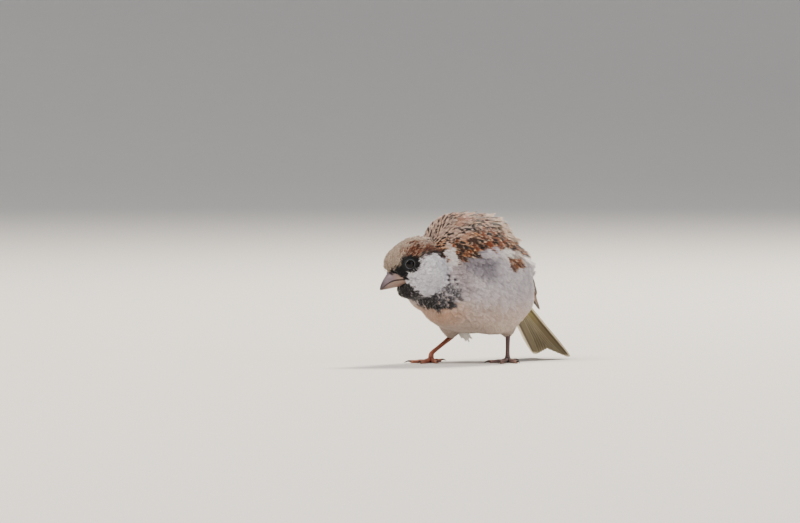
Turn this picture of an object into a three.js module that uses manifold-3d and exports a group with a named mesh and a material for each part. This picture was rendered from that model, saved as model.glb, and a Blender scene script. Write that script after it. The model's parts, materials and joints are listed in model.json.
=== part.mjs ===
// A male house sparrow at life size: fluffed and hunched, with its head low and turned to its right.
// Millimetres, +Z up. The bird stands on the flats of its toes at Z = 0.
import * as THREE from 'three';
import { mergeVertices } from 'three/addons/utils/BufferGeometryUtils.js';
import Module from 'manifold-3d';

const wasm = await Module();
wasm.setup();

const seam = 0.3; // gap between neighbouring pieces

// The body frame: forward, left and up, with its origin on the floor under the middle of the body.
const bodyHeading = 52; // degrees, from -X round towards -Y
const bodyMiddle = [3, 0, 0];

// The head frame has its origin midway between the eyes.
const headHeading = 15;
const headPitch = -24;
const headMiddle = [-31.4, -25.5, 49.1];
const eyeRadius = 3.7;
const eyeSide = 5.1; // from the middle of the head to each eyeball's centre
const billTip = { forward: 17.1, up: -6.3 };
const billRoot = 3.6; // where both halves of the bill end, inside the head
const billHalfWidth = 4.1;

const tailLength = 59.5;
const tailPitch = 44; // degrees below the horizontal
const tailRootWidth = 10;
const tailTipWidth = 22.5;
const tailThickness = 1.3;

const toeRadius = 0.9;
const clawRadius = 0.5;
const shankHidden = 2; // length of the shank's top inside the feathers of the thigh
const padRadius = 2.3;
const padSunk = 0.4; // how far the pad is flattened by the floor

const plumage = {
  head: { color: 0x8a6a52, roughness: 0.9 },
  neck: { color: 0xb9aca6, roughness: 0.95 },
  trunk: { color: 0xc9bfba, roughness: 0.95 },
  thigh: { color: 0xd8cdc4, roughness: 0.95 },
  wing: { color: 0x7a5238, roughness: 0.8 },
  tail: { color: 0x6d6249, roughness: 0.7 },
};
const horn = {
  bill: { color: 0xa58a90, roughness: 0.4 },
  leg: { color: 0xb06a58, roughness: 0.6 },
};
const eyeLook = { color: 0x15100d, roughness: 0.1 };

const radians = THREE.MathUtils.degToRad;

// A frame of forward, left and up, as a matrix from its own coordinates to the model's.
function frameAt(origin, heading, pitch) {
  const level = Math.cos(radians(pitch));
  const forward = new THREE.Vector3(
    -level * Math.cos(radians(heading)),
    -level * Math.sin(radians(heading)),
    Math.sin(radians(pitch)),
  );
  const left = new THREE.Vector3(Math.sin(radians(heading)), -Math.cos(radians(heading)), 0);
  const up = new THREE.Vector3().crossVectors(forward, left);
  const frame = new THREE.Matrix4().makeBasis(forward, left, up);
  return frame.setPosition(...origin);
}

const bodyFrame = frameAt(bodyMiddle, bodyHeading, 0);
const headFrame = frameAt(headMiddle, headHeading, headPitch);

function inFrame(frame, point) {
  return new THREE.Vector3(...point).applyMatrix4(frame);
}

// Swellings ------------------------------------------------------------------------------------

// An ellipsoid in a frame: at its centre, with half sizes forward, left and up, and a tilt of its nose.
function swelling(frame, at, size, tilt = 0) {
  const toModel = frame.clone();
  toModel.multiply(new THREE.Matrix4().makeTranslation(...at));
  toModel.multiply(new THREE.Matrix4().makeRotationY(-radians(tilt)));
  return { toSelf: toModel.invert(), size: new THREE.Vector3(...size) };
}

function pair(frame, [forward, side, up], size, tilt = 0) {
  return [
    swelling(frame, [forward, side, up], size, tilt),
    swelling(frame, [forward, -side, up], size, tilt),
  ];
}

function distanceTo({ toSelf, size }, point) {
  const local = point.clone().applyMatrix4(toSelf).divide(size);
  const reach = local.length();
  const slope = local.divide(size).length();
  return slope > 0 ? (reach * (reach - 1)) / slope : -size.x;
}

// How far a point is outside a form, whose swellings run softly together.
function outside({ swellings, blend }, point) {
  let total = 0;
  for (const one of swellings) {
    total += Math.exp(-distanceTo(one, point) / blend);
  }
  return -blend * Math.log(total);
}

// Where a ray from inside a form comes out of it, or out of the form grown by a margin.
function skinPoint(form, ray, margin = 0) {
  const halvings = 24;
  let near = 0;
  let far = 70;
  for (let step = 0; step < halvings; step += 1) {
    const middle = (near + far) / 2;
    if (outside(form, form.inside.clone().addScaledVector(ray, middle)) < margin) {
      near = middle;
    } else {
      far = middle;
    }
  }
  return form.inside.clone().addScaledVector(ray, near);
}

function skinNormal(form, point) {
  const step = 0.2;
  const slope = [[step, 0, 0], [0, step, 0], [0, 0, step]].map((shift) => {
    const ahead = point.clone().add(new THREE.Vector3(...shift));
    return outside(form, ahead) - outside(form, point);
  });
  return new THREE.Vector3(...slope).normalize();
}

// The closed solid of a form, or of the form grown outward by a margin.
function formSolid(form, margin = 0) {
  const sphere = new THREE.IcosahedronGeometry(1, form.detail);
  const position = sphere.getAttribute('position');
  for (let i = 0; i < position.count; i += 1) {
    const ray = new THREE.Vector3().fromBufferAttribute(position, i).normalize();
    position.setXYZ(i, ...skinPoint(form, ray, margin));
  }
  return solidOf(sphere);
}

// Solids ---------------------------------------------------------------------------------------

function solidOf(geometry) {
  const bare = geometry.clone();
  bare.deleteAttribute('normal');
  bare.deleteAttribute('uv');
  const merged = mergeVertices(bare, 1e-4);
  return new wasm.Manifold(new wasm.Mesh({
    numProp: 3,
    vertProperties: new Float32Array(merged.getAttribute('position').array),
    triVerts: new Uint32Array(merged.index.array),
  }));
}

function geometryOf(solid) {
  const mesh = solid.getMesh();
  const geometry = new THREE.BufferGeometry();
  geometry.setAttribute('position', new THREE.BufferAttribute(new Float32Array(mesh.vertProperties), 3));
  geometry.setIndex(new THREE.BufferAttribute(new Uint32Array(mesh.triVerts), 1));
  geometry.computeVertexNormals();
  return geometry;
}

// A closed skin over a row of rings with like numbers of points, closed at each end by a fan.
function loft(rings) {
  const count = rings[0].length;
  const points = rings.flat();
  const triangles = [];
  for (let ring = 0; ring + 1 < rings.length; ring += 1) {
    for (let i = 0; i < count; i += 1) {
      const next = (i + 1) % count;
      const a = ring * count + i;
      const b = ring * count + next;
      triangles.push(a, b, b + count, a, b + count, a + count);
    }
  }
  for (const [ring, turned] of [[0, true], [rings.length - 1, false]]) {
    const middle = new THREE.Vector3();
    rings[ring].forEach((point) => middle.addScaledVector(point, 1 / count));
    points.push(middle);
    for (let i = 0; i < count; i += 1) {
      const a = ring * count + i;
      const b = ring * count + ((i + 1) % count);
      triangles.push(...(turned ? [b, a, points.length - 1] : [a, b, points.length - 1]));
    }
  }
  if (enclosed(points, triangles) < 0) {
    triangles.reverse();
  }
  const geometry = new THREE.BufferGeometry().setFromPoints(points);
  geometry.setIndex(triangles);
  return solidOf(geometry);
}

function enclosed(points, triangles) {
  let volume = 0;
  for (let i = 0; i < triangles.length; i += 3) {
    const [a, b, c] = [points[triangles[i]], points[triangles[i + 1]], points[triangles[i + 2]]];
    volume += a.dot(new THREE.Vector3().crossVectors(b, c)) / 6;
  }
  return volume;
}

// An oval ring about a centre, from its two half axes.
function oval(centre, across, upward, sides) {
  const ring = [];
  for (let i = 0; i < sides; i += 1) {
    const angle = (2 * Math.PI * i) / sides;
    const point = centre.clone();
    point.addScaledVector(across, Math.cos(angle));
    point.addScaledVector(upward, Math.sin(angle));
    ring.push(point);
  }
  return ring;
}

// A round limb along a row of stations, each a point and a radius.
function limb(stations, sides, flatten = 1) {
  const along = new THREE.Vector3().subVectors(stations.at(-1).point, stations[0].point).normalize();
  const across = new THREE.Vector3(-along.y, along.x, 0).normalize();
  const upward = new THREE.Vector3().crossVectors(along, across);
  return loft(stations.map(({ point, radius }) => oval(
    point,
    across.clone().multiplyScalar(radius * flatten),
    upward.clone().multiplyScalar(radius),
    sides,
  )));
}

// Head, neck and trunk ---------------------------------------------------------------------------

const headForm = {
  blend: 1.3,
  detail: 7,
  inside: inFrame(headFrame, [-3, 0, -4]),
  swellings: [
    swelling(headFrame, [-5.0, 0, -0.6], [13.6, 7.6, 11.6], -3), // braincase under its crown feathers
    swelling(headFrame, [3.8, 0, 2.0], [7.4, 5.2, 6.6], -20), // forehead
    ...pair(headFrame, [-7.8, 4.6, -5.8], [9.4, 6.0, 9.4]), // fluffed cheeks
    swelling(headFrame, [-1.6, 0, -13.2], [11.4, 7.4, 5.4], 12), // chin
  ],
};

const neckForm = {
  blend: 2.2,
  detail: 4,
  inside: inFrame(bodyFrame, [25, -8, 41]),
  swellings: [
    swelling(bodyFrame, [26, -8, 43], [11, 14, 14.5]), // throat and neck sides
    swelling(bodyFrame, [23, -9, 34], [10, 12.5, 9]), // bib
  ],
};

const trunkForm = {
  blend: 2.2,
  detail: 9,
  inside: inFrame(bodyFrame, [0, 0, 42]),
  swellings: [
    swelling(bodyFrame, [2, 0, 38.6], [25, 22, 22]), // breast and belly
    swelling(bodyFrame, [15.8, -1, 57.2], [15.8, 15.8, 16], -8), // raised mantle
    swelling(bodyFrame, [1.5, 0, 54.6], [20, 18, 17], 26), // back
    ...pair(bodyFrame, [9, 9, 48], [13, 11.5, 14]), // shoulders
    ...pair(bodyFrame, [-13.5, 7.6, 36.5], [16, 13.8, 18.6]), // flanks over the folded wings
    ...pair(bodyFrame, [-4, 8.5, 29.6], [16, 12, 15]), // belly over the thighs
    swelling(bodyFrame, [-21, 0, 37], [12.5, 12, 13], 36), // rump and vent
    swelling(bodyFrame, [15.2, -2.4, 34.2], [17.6, 17.8, 16.8]), // breast
  ],
};

// A loose feather tip that lies back along the mantle and stands a little off it. Turn is the angle
// from straight behind towards the left, and climb the angle above the level.
function looseTip(turn, climb) {
  const halfWidth = 3.4;
  const halfThickness = 0.6;
  const buried = 6;
  const shown = 7.5;
  const lift = 0.28;
  const shape = [[-1, 0.9], [0.3, 1], [0.8, 0.62], [1, 0.2]]; // share of the length, share of the width
  const level = Math.cos(radians(climb));
  const ray = new THREE.Vector3(
    -level * Math.cos(radians(turn)),
    level * Math.sin(radians(turn)),
    Math.sin(radians(climb)),
  ).transformDirection(bodyFrame);
  const root = skinPoint(trunkForm, ray);
  const normal = skinNormal(trunkForm, root);
  const back = new THREE.Vector3(-1, 0, -0.25).transformDirection(bodyFrame);
  const along = back.projectOnPlane(normal).normalize();
  const across = new THREE.Vector3().crossVectors(normal, along);
  along.addScaledVector(normal, lift).normalize();
  const upward = new THREE.Vector3().crossVectors(along, across);
  return loft(shape.map(([share, width]) => oval(
    root.clone().addScaledVector(along, share > 0 ? share * shown : share * buried),
    across.clone().multiplyScalar(halfWidth * width),
    upward.clone().multiplyScalar(halfThickness),
    5,
  )));
}

function looseTips() {
  const rows = [
    { climb: 68, turns: [-30, 52] },
    { climb: 52, turns: [-70, -20, 30, 62] },
    { climb: 39, turns: [-80, -40, 5, 45, 80] },
    { climb: 26, turns: [-60, 30, 62] },
    { climb: 14, turns: [48, 72] },
  ];
  return rows.flatMap(({ climb, turns }) => turns.map((turn) => looseTip(turn, climb)));
}

// Wings --------------------------------------------------------------------------------------------

// Stations of a folded wing in the body frame, from the wrist to the tip: place, half height, half
// thickness, and lean of its top towards the back. The flank feathers cover all but its hind part.
const wingStations = [
  { at: [21, 10.5, 48], height: 4, thickness: 1.4, lean: 24 },
  { at: [12, 14, 48], height: 8, thickness: 2.2, lean: 24 },
  { at: [1, 14.6, 46.5], height: 9.4, thickness: 2.4, lean: 24 },
  { at: [-11, 15, 42.8], height: 9, thickness: 2.4, lean: 20 },
  { at: [-19, 19.4, 39], height: 8.2, thickness: 2.2, lean: 16 },
  { at: [-30, 14.4, 33.2], height: 5.4, thickness: 1.5, lean: 14 },
  { at: [-38, 9.8, 28.6], height: 3, thickness: 0.9, lean: 10 },
  { at: [-43.5, 7.2, 25.2], height: 1.2, thickness: 0.5, lean: 6 },
];

function wingSolid(side, margin = 0) {
  const rings = wingStations.map(({ at, height, thickness, lean }) => {
    const [forward, out, up] = at;
    const top = new THREE.Vector3(0, -side * Math.sin(radians(lean)), Math.cos(radians(lean)));
    const outward = new THREE.Vector3(0, side * Math.cos(radians(lean)), Math.sin(radians(lean)));
    top.transformDirection(bodyFrame);
    outward.transformDirection(bodyFrame);
    return oval(
      inFrame(bodyFrame, [forward, side * out, up]),
      outward.multiplyScalar(thickness + margin),
      top.multiplyScalar(height + margin),
      12,
    );
  });
  return loft(rings);
}

// Tail ---------------------------------------------------------------------------------------------

const tailRoot = inFrame(bodyFrame, [-17, 0.8, 43.5]);
const tailFrame = frameAt(tailRoot.toArray(), bodyHeading, tailPitch);
const tailLeft = new THREE.Vector3(0, 1, 0).transformDirection(tailFrame);
const tailUp = new THREE.Vector3(0, 0, 1).transformDirection(tailFrame);

// The flat fan of the tail, with its shallow notch, lies in the frame's forward and left directions.
function tailFan(margin = 0) {
  const notch = 3;
  const corner = 3;
  const rootHalf = tailRootWidth / 2 + margin;
  const tipHalf = tailTipWidth / 2 + margin;
  const length = tailLength + margin;
  const fan = new THREE.Shape();
  fan.moveTo(0, -rootHalf);
  fan.lineTo(-length + corner, -tipHalf);
  fan.quadraticCurveTo(-length, -tipHalf, -length, -tipHalf + corner);
  fan.lineTo(-length + notch, 0);
  fan.lineTo(-length, tipHalf - corner);
  fan.quadraticCurveTo(-length, tipHalf, -length + corner, tipHalf);
  fan.lineTo(0, rootHalf);
  fan.closePath();
  const depth = tailThickness + 2 * margin;
  const sheet = new THREE.ExtrudeGeometry(fan, { depth, bevelEnabled: false, curveSegments: 3 });
  sheet.translate(0, 0, -depth / 2);
  sheet.applyMatrix4(tailFrame);
  return solidOf(sheet);
}

// The short feathers that taper over the root of the tail, above and below.
function tailCoverts(margin = 0) {
  const stations = [[-4, 8, 6], [-15, 7.8, 4.8], [-26, 6.6, 3], [-36, 4.4, 1.3]];
  return loft(stations.map(([along, width, height]) => oval(
    inFrame(tailFrame, [along, 0, -0.6]),
    tailLeft.clone().multiplyScalar(width + margin),
    tailUp.clone().multiplyScalar(height + margin),
    12,
  )));
}

// Bill ---------------------------------------------------------------------------------------------

// Heights of the ridge, the cutting edges and the keel at a share of the bill's length from its tip.
const ridgeRise = 8.9;
const edgeRise = 1.8;
const keelDrop = 3.1;

function ridgeHeight(share) {
  return billTip.up + ridgeRise * share ** 0.66;
}

function edgeHeight(share) {
  return billTip.up + edgeRise * Math.sin(Math.PI * share) ** 1.2;
}

function keelHeight(share) {
  return billTip.up - keelDrop * share ** 0.8;
}

// The upper half is an arch over the cutting edges, and the lower half a keel under them.
function billHalf(upper, margin = 0) {
  const shares = [0.02, 0.1, 0.24, 0.4, 0.56, 0.72, 0.86, 1];
  const sides = 9;
  const inset = upper ? 1 : 0.92;
  return loft(shares.map((share) => {
    const forward = THREE.MathUtils.lerp(billTip.forward, billRoot - margin, share);
    const width = 0.1 + margin + inset * billHalfWidth * Math.sin(0.5 * Math.PI * share ** 0.85);
    const gap = seam / 2 - margin;
    const edge = edgeHeight(share) + (upper ? gap : -gap);
    const height = margin + Math.abs((upper ? ridgeHeight(share) : keelHeight(share)) - edge);
    const ring = [];
    for (let i = 0; i <= sides; i += 1) {
      const angle = (Math.PI * i) / sides;
      const rise = Math.max(height, 0.25) * Math.sin(angle) ** 0.9;
      const across = width * Math.cos(angle);
      ring.push(inFrame(headFrame, [forward, across, upper ? edge + rise : edge - rise]));
    }
    return ring;
  }));
}

// Eyes ---------------------------------------------------------------------------------------------

function eyeSolid(side, margin = 0) {
  const ball = new THREE.IcosahedronGeometry(eyeRadius + margin, 2);
  const centre = inFrame(headFrame, [0, side * eyeSide, 0]);
  ball.translate(centre.x, centre.y, centre.z);
  return solidOf(ball);
}

// Legs ---------------------------------------------------------------------------------------------

// Each leg: the foot's joint over its pad, where the bare shank leaves the feathers, and the knee end
// of the feathered thigh. A toe is its heading from -X towards -Y, its length and its claw's length.
const legs = {
  right: {
    joint: [-19.1, 0, 4.4],
    bareTop: [-9.6, 12.1, 11.6],
    thighTop: [-8.5, 6, 24],
    thighRadius: 8,
    toes: { outer: [38, 12.5, 4.4], middle: [71, 15.5, 5], inner: [104, 11.5, 4.2], hind: [240, 9.5, 6] },
  },
  left: {
    joint: [18.4, 0, 4.2],
    bareTop: [18.6, 4.6, 12.2],
    thighTop: [17.2, 7, 24],
    thighRadius: 8,
    toes: { outer: [110, 12.5, 4.4], middle: [76, 15.5, 5], inner: [42, 11.5, 4.2], hind: [247, 9.5, 6] },
  },
};

function thighSolid({ bareTop, thighTop, thighRadius }) {
  const top = new THREE.Vector3(...thighTop);
  const end = new THREE.Vector3(...bareTop);
  const shares = [[0, 1], [0.35, 0.92], [0.62, 0.66], [0.8, 0.42], [0.92, 0.26], [1, 0.17]];
  return limb(shares.map(([share, width]) => ({
    point: top.clone().lerp(end, share),
    radius: thighRadius * width,
  })), 12);
}

// The bare shank, from a little way up inside the feathers down to the foot's joint.
function shankBone({ joint, bareTop }, margin = 0) {
  const foot = new THREE.Vector3(...joint);
  const end = new THREE.Vector3(...bareTop);
  const hidden = -(shankHidden + margin) / foot.distanceTo(end);
  const shares = [[hidden, 1.1], [0.1, 1.12], [0.3, 0.96], [0.6, 0.9], [0.84, 1.05], [1, 1.5]];
  return limb(shares.map(([share, radius]) => ({
    point: end.clone().lerp(foot, share),
    radius: radius + margin,
  })), 7, 0.8);
}

// The shank ends in the pad that the toes spread from, which the floor flattens.
function shankSolid(leg) {
  const pad = new THREE.IcosahedronGeometry(padRadius, 1);
  pad.translate(leg.joint[0], leg.joint[1], padRadius - padSunk);
  return shankBone(leg).add(solidOf(pad)).subtract(floorSolid());
}

// Everything under the standing level, to cut the soles flat.
function floorSolid() {
  const slab = new THREE.BoxGeometry(200, 200, 20);
  slab.translate(0, 0, -10);
  return solidOf(slab);
}

// A toe lies along the floor on its flat sole, with a swelling at each joint and a hooked claw.
function toeSolid({ joint }, [heading, length, claw]) {
  const along = new THREE.Vector3(-Math.cos(radians(heading)), -Math.sin(radians(heading)), 0);
  const across = new THREE.Vector3(-along.y, along.x, 0);
  const upward = new THREE.Vector3(0, 0, 1);
  const start = padRadius + seam + 0.35;
  const knuckles = 2;
  const steps = 5;
  const sides = 6;
  const rings = [];
  for (let step = 0; step <= steps; step += 1) {
    const share = step / steps;
    const bulge = 0.09 * Math.cos(2 * Math.PI * knuckles * share);
    const root = Math.min(1, 0.7 + 1.2 * share);
    const radius = toeRadius * root * (1.06 - 0.28 * share + bulge);
    const rise = 0.75 * Math.max(0, 1 - 4 * share);
    const centre = new THREE.Vector3(joint[0], joint[1], radius * 0.84 + rise);
    centre.addScaledVector(along, start + (length - start) * share);
    rings.push(oval(
      centre,
      across.clone().multiplyScalar(radius),
      upward.clone().multiplyScalar(radius),
      sides,
    ));
  }
  // Share of the claw's length, height of its middle, and share of its thickness.
  const clawStations = [[0.12, 0.95, 1], [0.45, 1.15, 0.78], [0.78, 0.8, 0.55], [1, 0.36, 0.3]];
  for (const [share, height, width] of clawStations) {
    const centre = new THREE.Vector3(joint[0], joint[1], height);
    centre.addScaledVector(along, length + claw * share);
    rings.push(oval(
      centre,
      across.clone().multiplyScalar(clawRadius * width * 0.8),
      upward.clone().multiplyScalar(clawRadius * width),
      sides,
    ));
  }
  return loft(rings).subtract(floorSolid());
}

// Assembly -----------------------------------------------------------------------------------------

const model = new THREE.Group();

function place(name, solid, look) {
  const material = new THREE.MeshStandardMaterial({ ...look, metalness: 0 });
  const mesh = new THREE.Mesh(geometryOf(solid), material);
  mesh.name = name;
  model.add(mesh);
}

const trunkGrown = formSolid(trunkForm, seam);
const headGrown = formSolid(headForm, seam);
const tailGrown = tailFan(seam).add(tailCoverts(seam));

let trunk = formSolid(trunkForm);
for (const tip of looseTips()) {
  trunk = trunk.add(tip);
}
let head = formSolid(headForm).subtract(trunkGrown);
head = head.subtract(billHalf(true, seam)).subtract(billHalf(false, seam));

for (const [name, side] of [['left', 1], ['right', -1]]) {
  trunk = trunk.subtract(wingSolid(side, seam));
  head = head.subtract(eyeSolid(side, seam));
  place(`wing_${name}`, wingSolid(side).subtract(tailGrown), plumage.wing);
  place(`eye_${name}`, eyeSolid(side), eyeLook);
  const leg = legs[name];
  const thigh = thighSolid(leg).subtract(trunkGrown).subtract(shankBone(leg, seam));
  place(`thigh_${name}`, thigh, plumage.thigh);
  place(`shank_${name}`, shankSolid(leg), horn.leg);
  for (const [toe, shape] of Object.entries(leg.toes)) {
    place(`toe_${name}_${toe}`, toeSolid(leg, shape), horn.leg);
  }
}

place('trunk', trunk, plumage.trunk);
place('neck', formSolid(neckForm).subtract(trunkGrown).subtract(headGrown), plumage.neck);
place('head', head, plumage.head);
place('tail', tailFan().add(tailCoverts()).subtract(trunkGrown), plumage.tail);
place('bill_upper', billHalf(true), horn.bill);
place('bill_lower', billHalf(false), horn.bill);

// The middle of the model's box stands over the origin.
const boxMiddle = new THREE.Box3().setFromObject(model).getCenter(new THREE.Vector3());
model.position.set(-boxMiddle.x, -boxMiddle.y, 0);

export default model;
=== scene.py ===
import json
import math
from itertools import product

import bpy
import numpy as np
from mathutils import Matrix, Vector
from mathutils.bvhtree import BVHTree
from mathutils.kdtree import KDTree

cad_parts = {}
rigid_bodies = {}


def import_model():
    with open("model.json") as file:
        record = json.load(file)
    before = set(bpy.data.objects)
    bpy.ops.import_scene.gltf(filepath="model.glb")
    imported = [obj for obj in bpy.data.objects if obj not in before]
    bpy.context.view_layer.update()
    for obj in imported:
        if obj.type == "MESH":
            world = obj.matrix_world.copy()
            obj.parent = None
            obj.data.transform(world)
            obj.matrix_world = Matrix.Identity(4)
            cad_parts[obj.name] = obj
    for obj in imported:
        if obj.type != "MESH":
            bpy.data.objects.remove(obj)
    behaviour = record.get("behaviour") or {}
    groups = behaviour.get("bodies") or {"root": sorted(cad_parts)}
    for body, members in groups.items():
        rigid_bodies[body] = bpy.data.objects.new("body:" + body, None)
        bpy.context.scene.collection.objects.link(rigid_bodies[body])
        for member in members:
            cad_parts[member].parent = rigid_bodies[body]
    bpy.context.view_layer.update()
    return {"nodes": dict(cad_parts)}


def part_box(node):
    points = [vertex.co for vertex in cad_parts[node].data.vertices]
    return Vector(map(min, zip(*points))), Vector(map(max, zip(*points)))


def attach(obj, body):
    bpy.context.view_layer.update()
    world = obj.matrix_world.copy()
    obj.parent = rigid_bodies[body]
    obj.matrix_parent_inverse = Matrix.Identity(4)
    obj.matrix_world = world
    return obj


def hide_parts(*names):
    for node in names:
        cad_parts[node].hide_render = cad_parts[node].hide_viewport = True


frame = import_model()
print("frame loaded:", len(frame["nodes"]), "nodes")

# The shapes are worked out in millimetres, in the frame's own axes, and written in metres.
mm = 0.001
dice = np.random.default_rng(11)


def unit(vectors):
    return vectors / np.maximum(np.linalg.norm(vectors, axis=-1, keepdims=True), 1e-9)


def dot(a, b):
    return (a * b).sum(axis=-1)


def ramp(value, low, high):
    share = np.clip((value - low) / (high - low), 0, 1)
    return share * share * (3 - 2 * share)


def blend(first, second, share):
    share = np.asarray(share)[..., None] if np.ndim(share) else share
    return first + (second - first) * share


def colour(code):  # "#rrggbb" as linear light
    parts = np.array([int(code[i:i + 2], 16) for i in (1, 3, 5)]) / 255
    return np.where(parts < 0.04045, parts / 12.92, ((parts + 0.055) / 1.055) ** 2.4)


def around(sides):  # turns at equal steps round a circle
    return np.linspace(0, 2 * math.pi, sides, endpoint=False)[None]


def drawn(shape, most=2):  # normal chances, none of them far out
    return dice.normal(size=shape).clip(-most, most)


def between(ends, share):  # places on the straight line from the first end to the last
    first, last = np.array(ends, float)
    return first + (last - first) * share


def capsule(points, start, end, startRadius, endRadius):
    # How far points lie outside a rod that swells from one radius to the other.
    rod = end - start
    share = np.clip((points - start) @ rod / (rod @ rod), 0, 1)
    gap = np.linalg.norm(points - (start + share[:, None] * rod), axis=1)
    return gap - (startRadius + (endRadius - startRadius) * share)


class Axes:
    # Forward, left and up of a part. Heading is in degrees from -X round towards -Y, pitch above the level.
    def __init__(self, origin, heading, pitch=0):
        turn, climb = math.radians(heading), math.radians(pitch)
        level = math.cos(climb)
        forward = np.array([-math.cos(turn) * level, -math.sin(turn) * level, math.sin(climb)])
        left = np.array([math.sin(turn), -math.cos(turn), 0])
        self.origin = np.array(origin, float)
        self.rows = np.stack([forward, left, np.cross(forward, left)])

    def into(self, points):
        return (points - self.origin) @ self.rows.T

    def out(self, local):
        return self.origin + np.array(local, float) @ self.rows

    def turned(self, local):
        return np.array(local, float) @ self.rows


def boxMiddle(node):
    low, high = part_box(node)
    return np.array((low + high) / 2) / mm


eyePlaces = {1: boxMiddle("eye_left"), -1: boxMiddle("eye_right")}
headMiddle = (eyePlaces[1] + eyePlaces[-1]) / 2
acrossEyes = eyePlaces[1] - eyePlaces[-1]

pose = {
    "headPitch": -24,
    "bodyHeading": 52,
    "bodyFromHead": (34.4, 25.5, -49.1),  # from between the eyes to the floor under the body
    "tailRoot": (-17, 0.8, 43.5),  # in the body's axes
    "tailPitch": 44,
}
headHeading = math.degrees(math.atan2(acrossEyes[0], -acrossEyes[1]))
head = Axes(headMiddle, headHeading, pose["headPitch"])
body = Axes(headMiddle + pose["bodyFromHead"], pose["bodyHeading"])
tail = Axes(body.out(pose["tailRoot"]), pose["bodyHeading"], pose["tailPitch"])
print("head heads", round(headHeading, 1), "degrees")


def readAll(rows, key, width=1, kind=float):
    values = np.empty(len(rows) * width, kind)
    rows.foreach_get(key, values)
    return values.reshape(-1, width) if width > 1 else values


def nodeShape(name):
    # The node's points in millimetres and its triangles, with shared corners joined.
    mesh = frame["nodes"][name].data
    mesh.calc_loop_triangles()
    points = np.round(readAll(mesh.vertices, "co", 3) / mm, 4)
    points, where = np.unique(points, axis=0, return_inverse=True)
    return points, where.reshape(-1)[readAll(mesh.loop_triangles, "vertices", 3, int)]


def normalsOf(points, faces):
    # For triangles and quads alike.
    corner = [points[faces[:, i]] for i in range(faces.shape[1])]
    facing = np.cross(corner[-2] - corner[0], corner[-1] - corner[-3])
    total = np.zeros_like(points)
    for i in range(faces.shape[1]):
        np.add.at(total, faces[:, i], facing)
    return unit(total)


def newMesh(name, points, faceSets):
    # faceSets is a list of arrays, each with one number of corners to a face.
    mesh = bpy.data.meshes.new(name)
    mesh.vertices.add(len(points))
    mesh.vertices.foreach_set("co", (points * mm).ravel())
    corners = np.concatenate([faces.ravel() for faces in faceSets])
    sizes = np.concatenate([np.full(len(faces), faces.shape[1]) for faces in faceSets])
    mesh.loops.add(len(corners))
    mesh.loops.foreach_set("vertex_index", corners.astype(np.int32))
    mesh.polygons.add(len(sizes))
    starts = np.concatenate([[0], np.cumsum(sizes)[:-1]])
    mesh.polygons.foreach_set("loop_start", starts.astype(np.int32))
    mesh.update(calc_edges=True)
    mesh.shade_smooth()
    return mesh


def setAttribute(mesh, name, values):
    # One number, or one colour of three numbers, for each point.
    if values.ndim == 1:
        made = mesh.attributes.new(name, "FLOAT", "POINT")
        made.data.foreach_set("value", values.astype(np.float32))
    else:
        made = mesh.attributes.new(name, "FLOAT_COLOR", "POINT")
        solid = np.concatenate([values, np.ones((len(values), 1))], axis=1)
        made.data.foreach_set("color", solid.astype(np.float32).ravel())


def placed(name, data):
    made = bpy.data.objects.new(name, data)
    bpy.context.scene.collection.objects.link(made)
    return made


def addPiece(name, points, faceSets, material, traits, patches=None, nodes=()):
    mesh = newMesh(name, points, faceSets)
    for trait, values in traits.items():
        setAttribute(mesh, trait, values)
    if patches is not None:
        layer = mesh.uv_layers.new(name="OFBake")
        corners = readAll(mesh.loops, "vertex_index", 1, int)
        layer.data.foreach_set("uv", patches[corners].astype(np.float32).ravel())
    mesh.materials.append(material)
    piece = placed(name, mesh)
    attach(piece, "root")
    if nodes:
        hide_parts(*nodes)
    return piece


def tubeFaces(rings, sides, closedEnd=True):
    # Quads between rings of points, with a fan over the first ring and the last.
    ring = np.arange(rings - 1)[:, None] * sides
    side = np.arange(sides)
    after = (side + 1) % sides
    quads = np.stack([ring + side, ring + after, ring + sides + after, ring + sides + side], axis=-1)
    fan = np.arange(1, sides - 1)
    caps = [np.stack([0 * fan, fan + 1, fan], axis=1)]
    if closedEnd:
        caps.append((rings - 1) * sides + np.stack([0 * fan, fan, fan + 1], axis=1))
    return [quads.reshape(-1, 4), np.concatenate(caps)]


def joined(shapes):
    # Several (points, faceSets, traits) as one, with the faces' numbers moved on.
    points = np.concatenate([shape[0] for shape in shapes])
    starts = np.cumsum([0] + [len(shape[0]) for shape in shapes])
    faces = [group + start for shape, start in zip(shapes, starts) for group in shape[1]]
    traits = {name: np.concatenate([shape[2][name] for shape in shapes]) for name in shapes[0][2]}
    return points, faces, traits


class Value:
    # A socket that sums can be written with.
    def __init__(self, paint, socket):
        self.paint = paint
        self.socket = socket

    def __add__(self, other):
        return self.paint.math("ADD", self, other)

    def __sub__(self, other):
        return self.paint.math("SUBTRACT", self, other)

    def __rsub__(self, other):
        return self.paint.math("SUBTRACT", other, self)

    def __mul__(self, other):
        return self.paint.math("MULTIPLY", self, other)

    def __abs__(self):
        return self.paint.math("ABSOLUTE", self)

    __radd__ = __add__
    __rmul__ = __mul__


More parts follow.
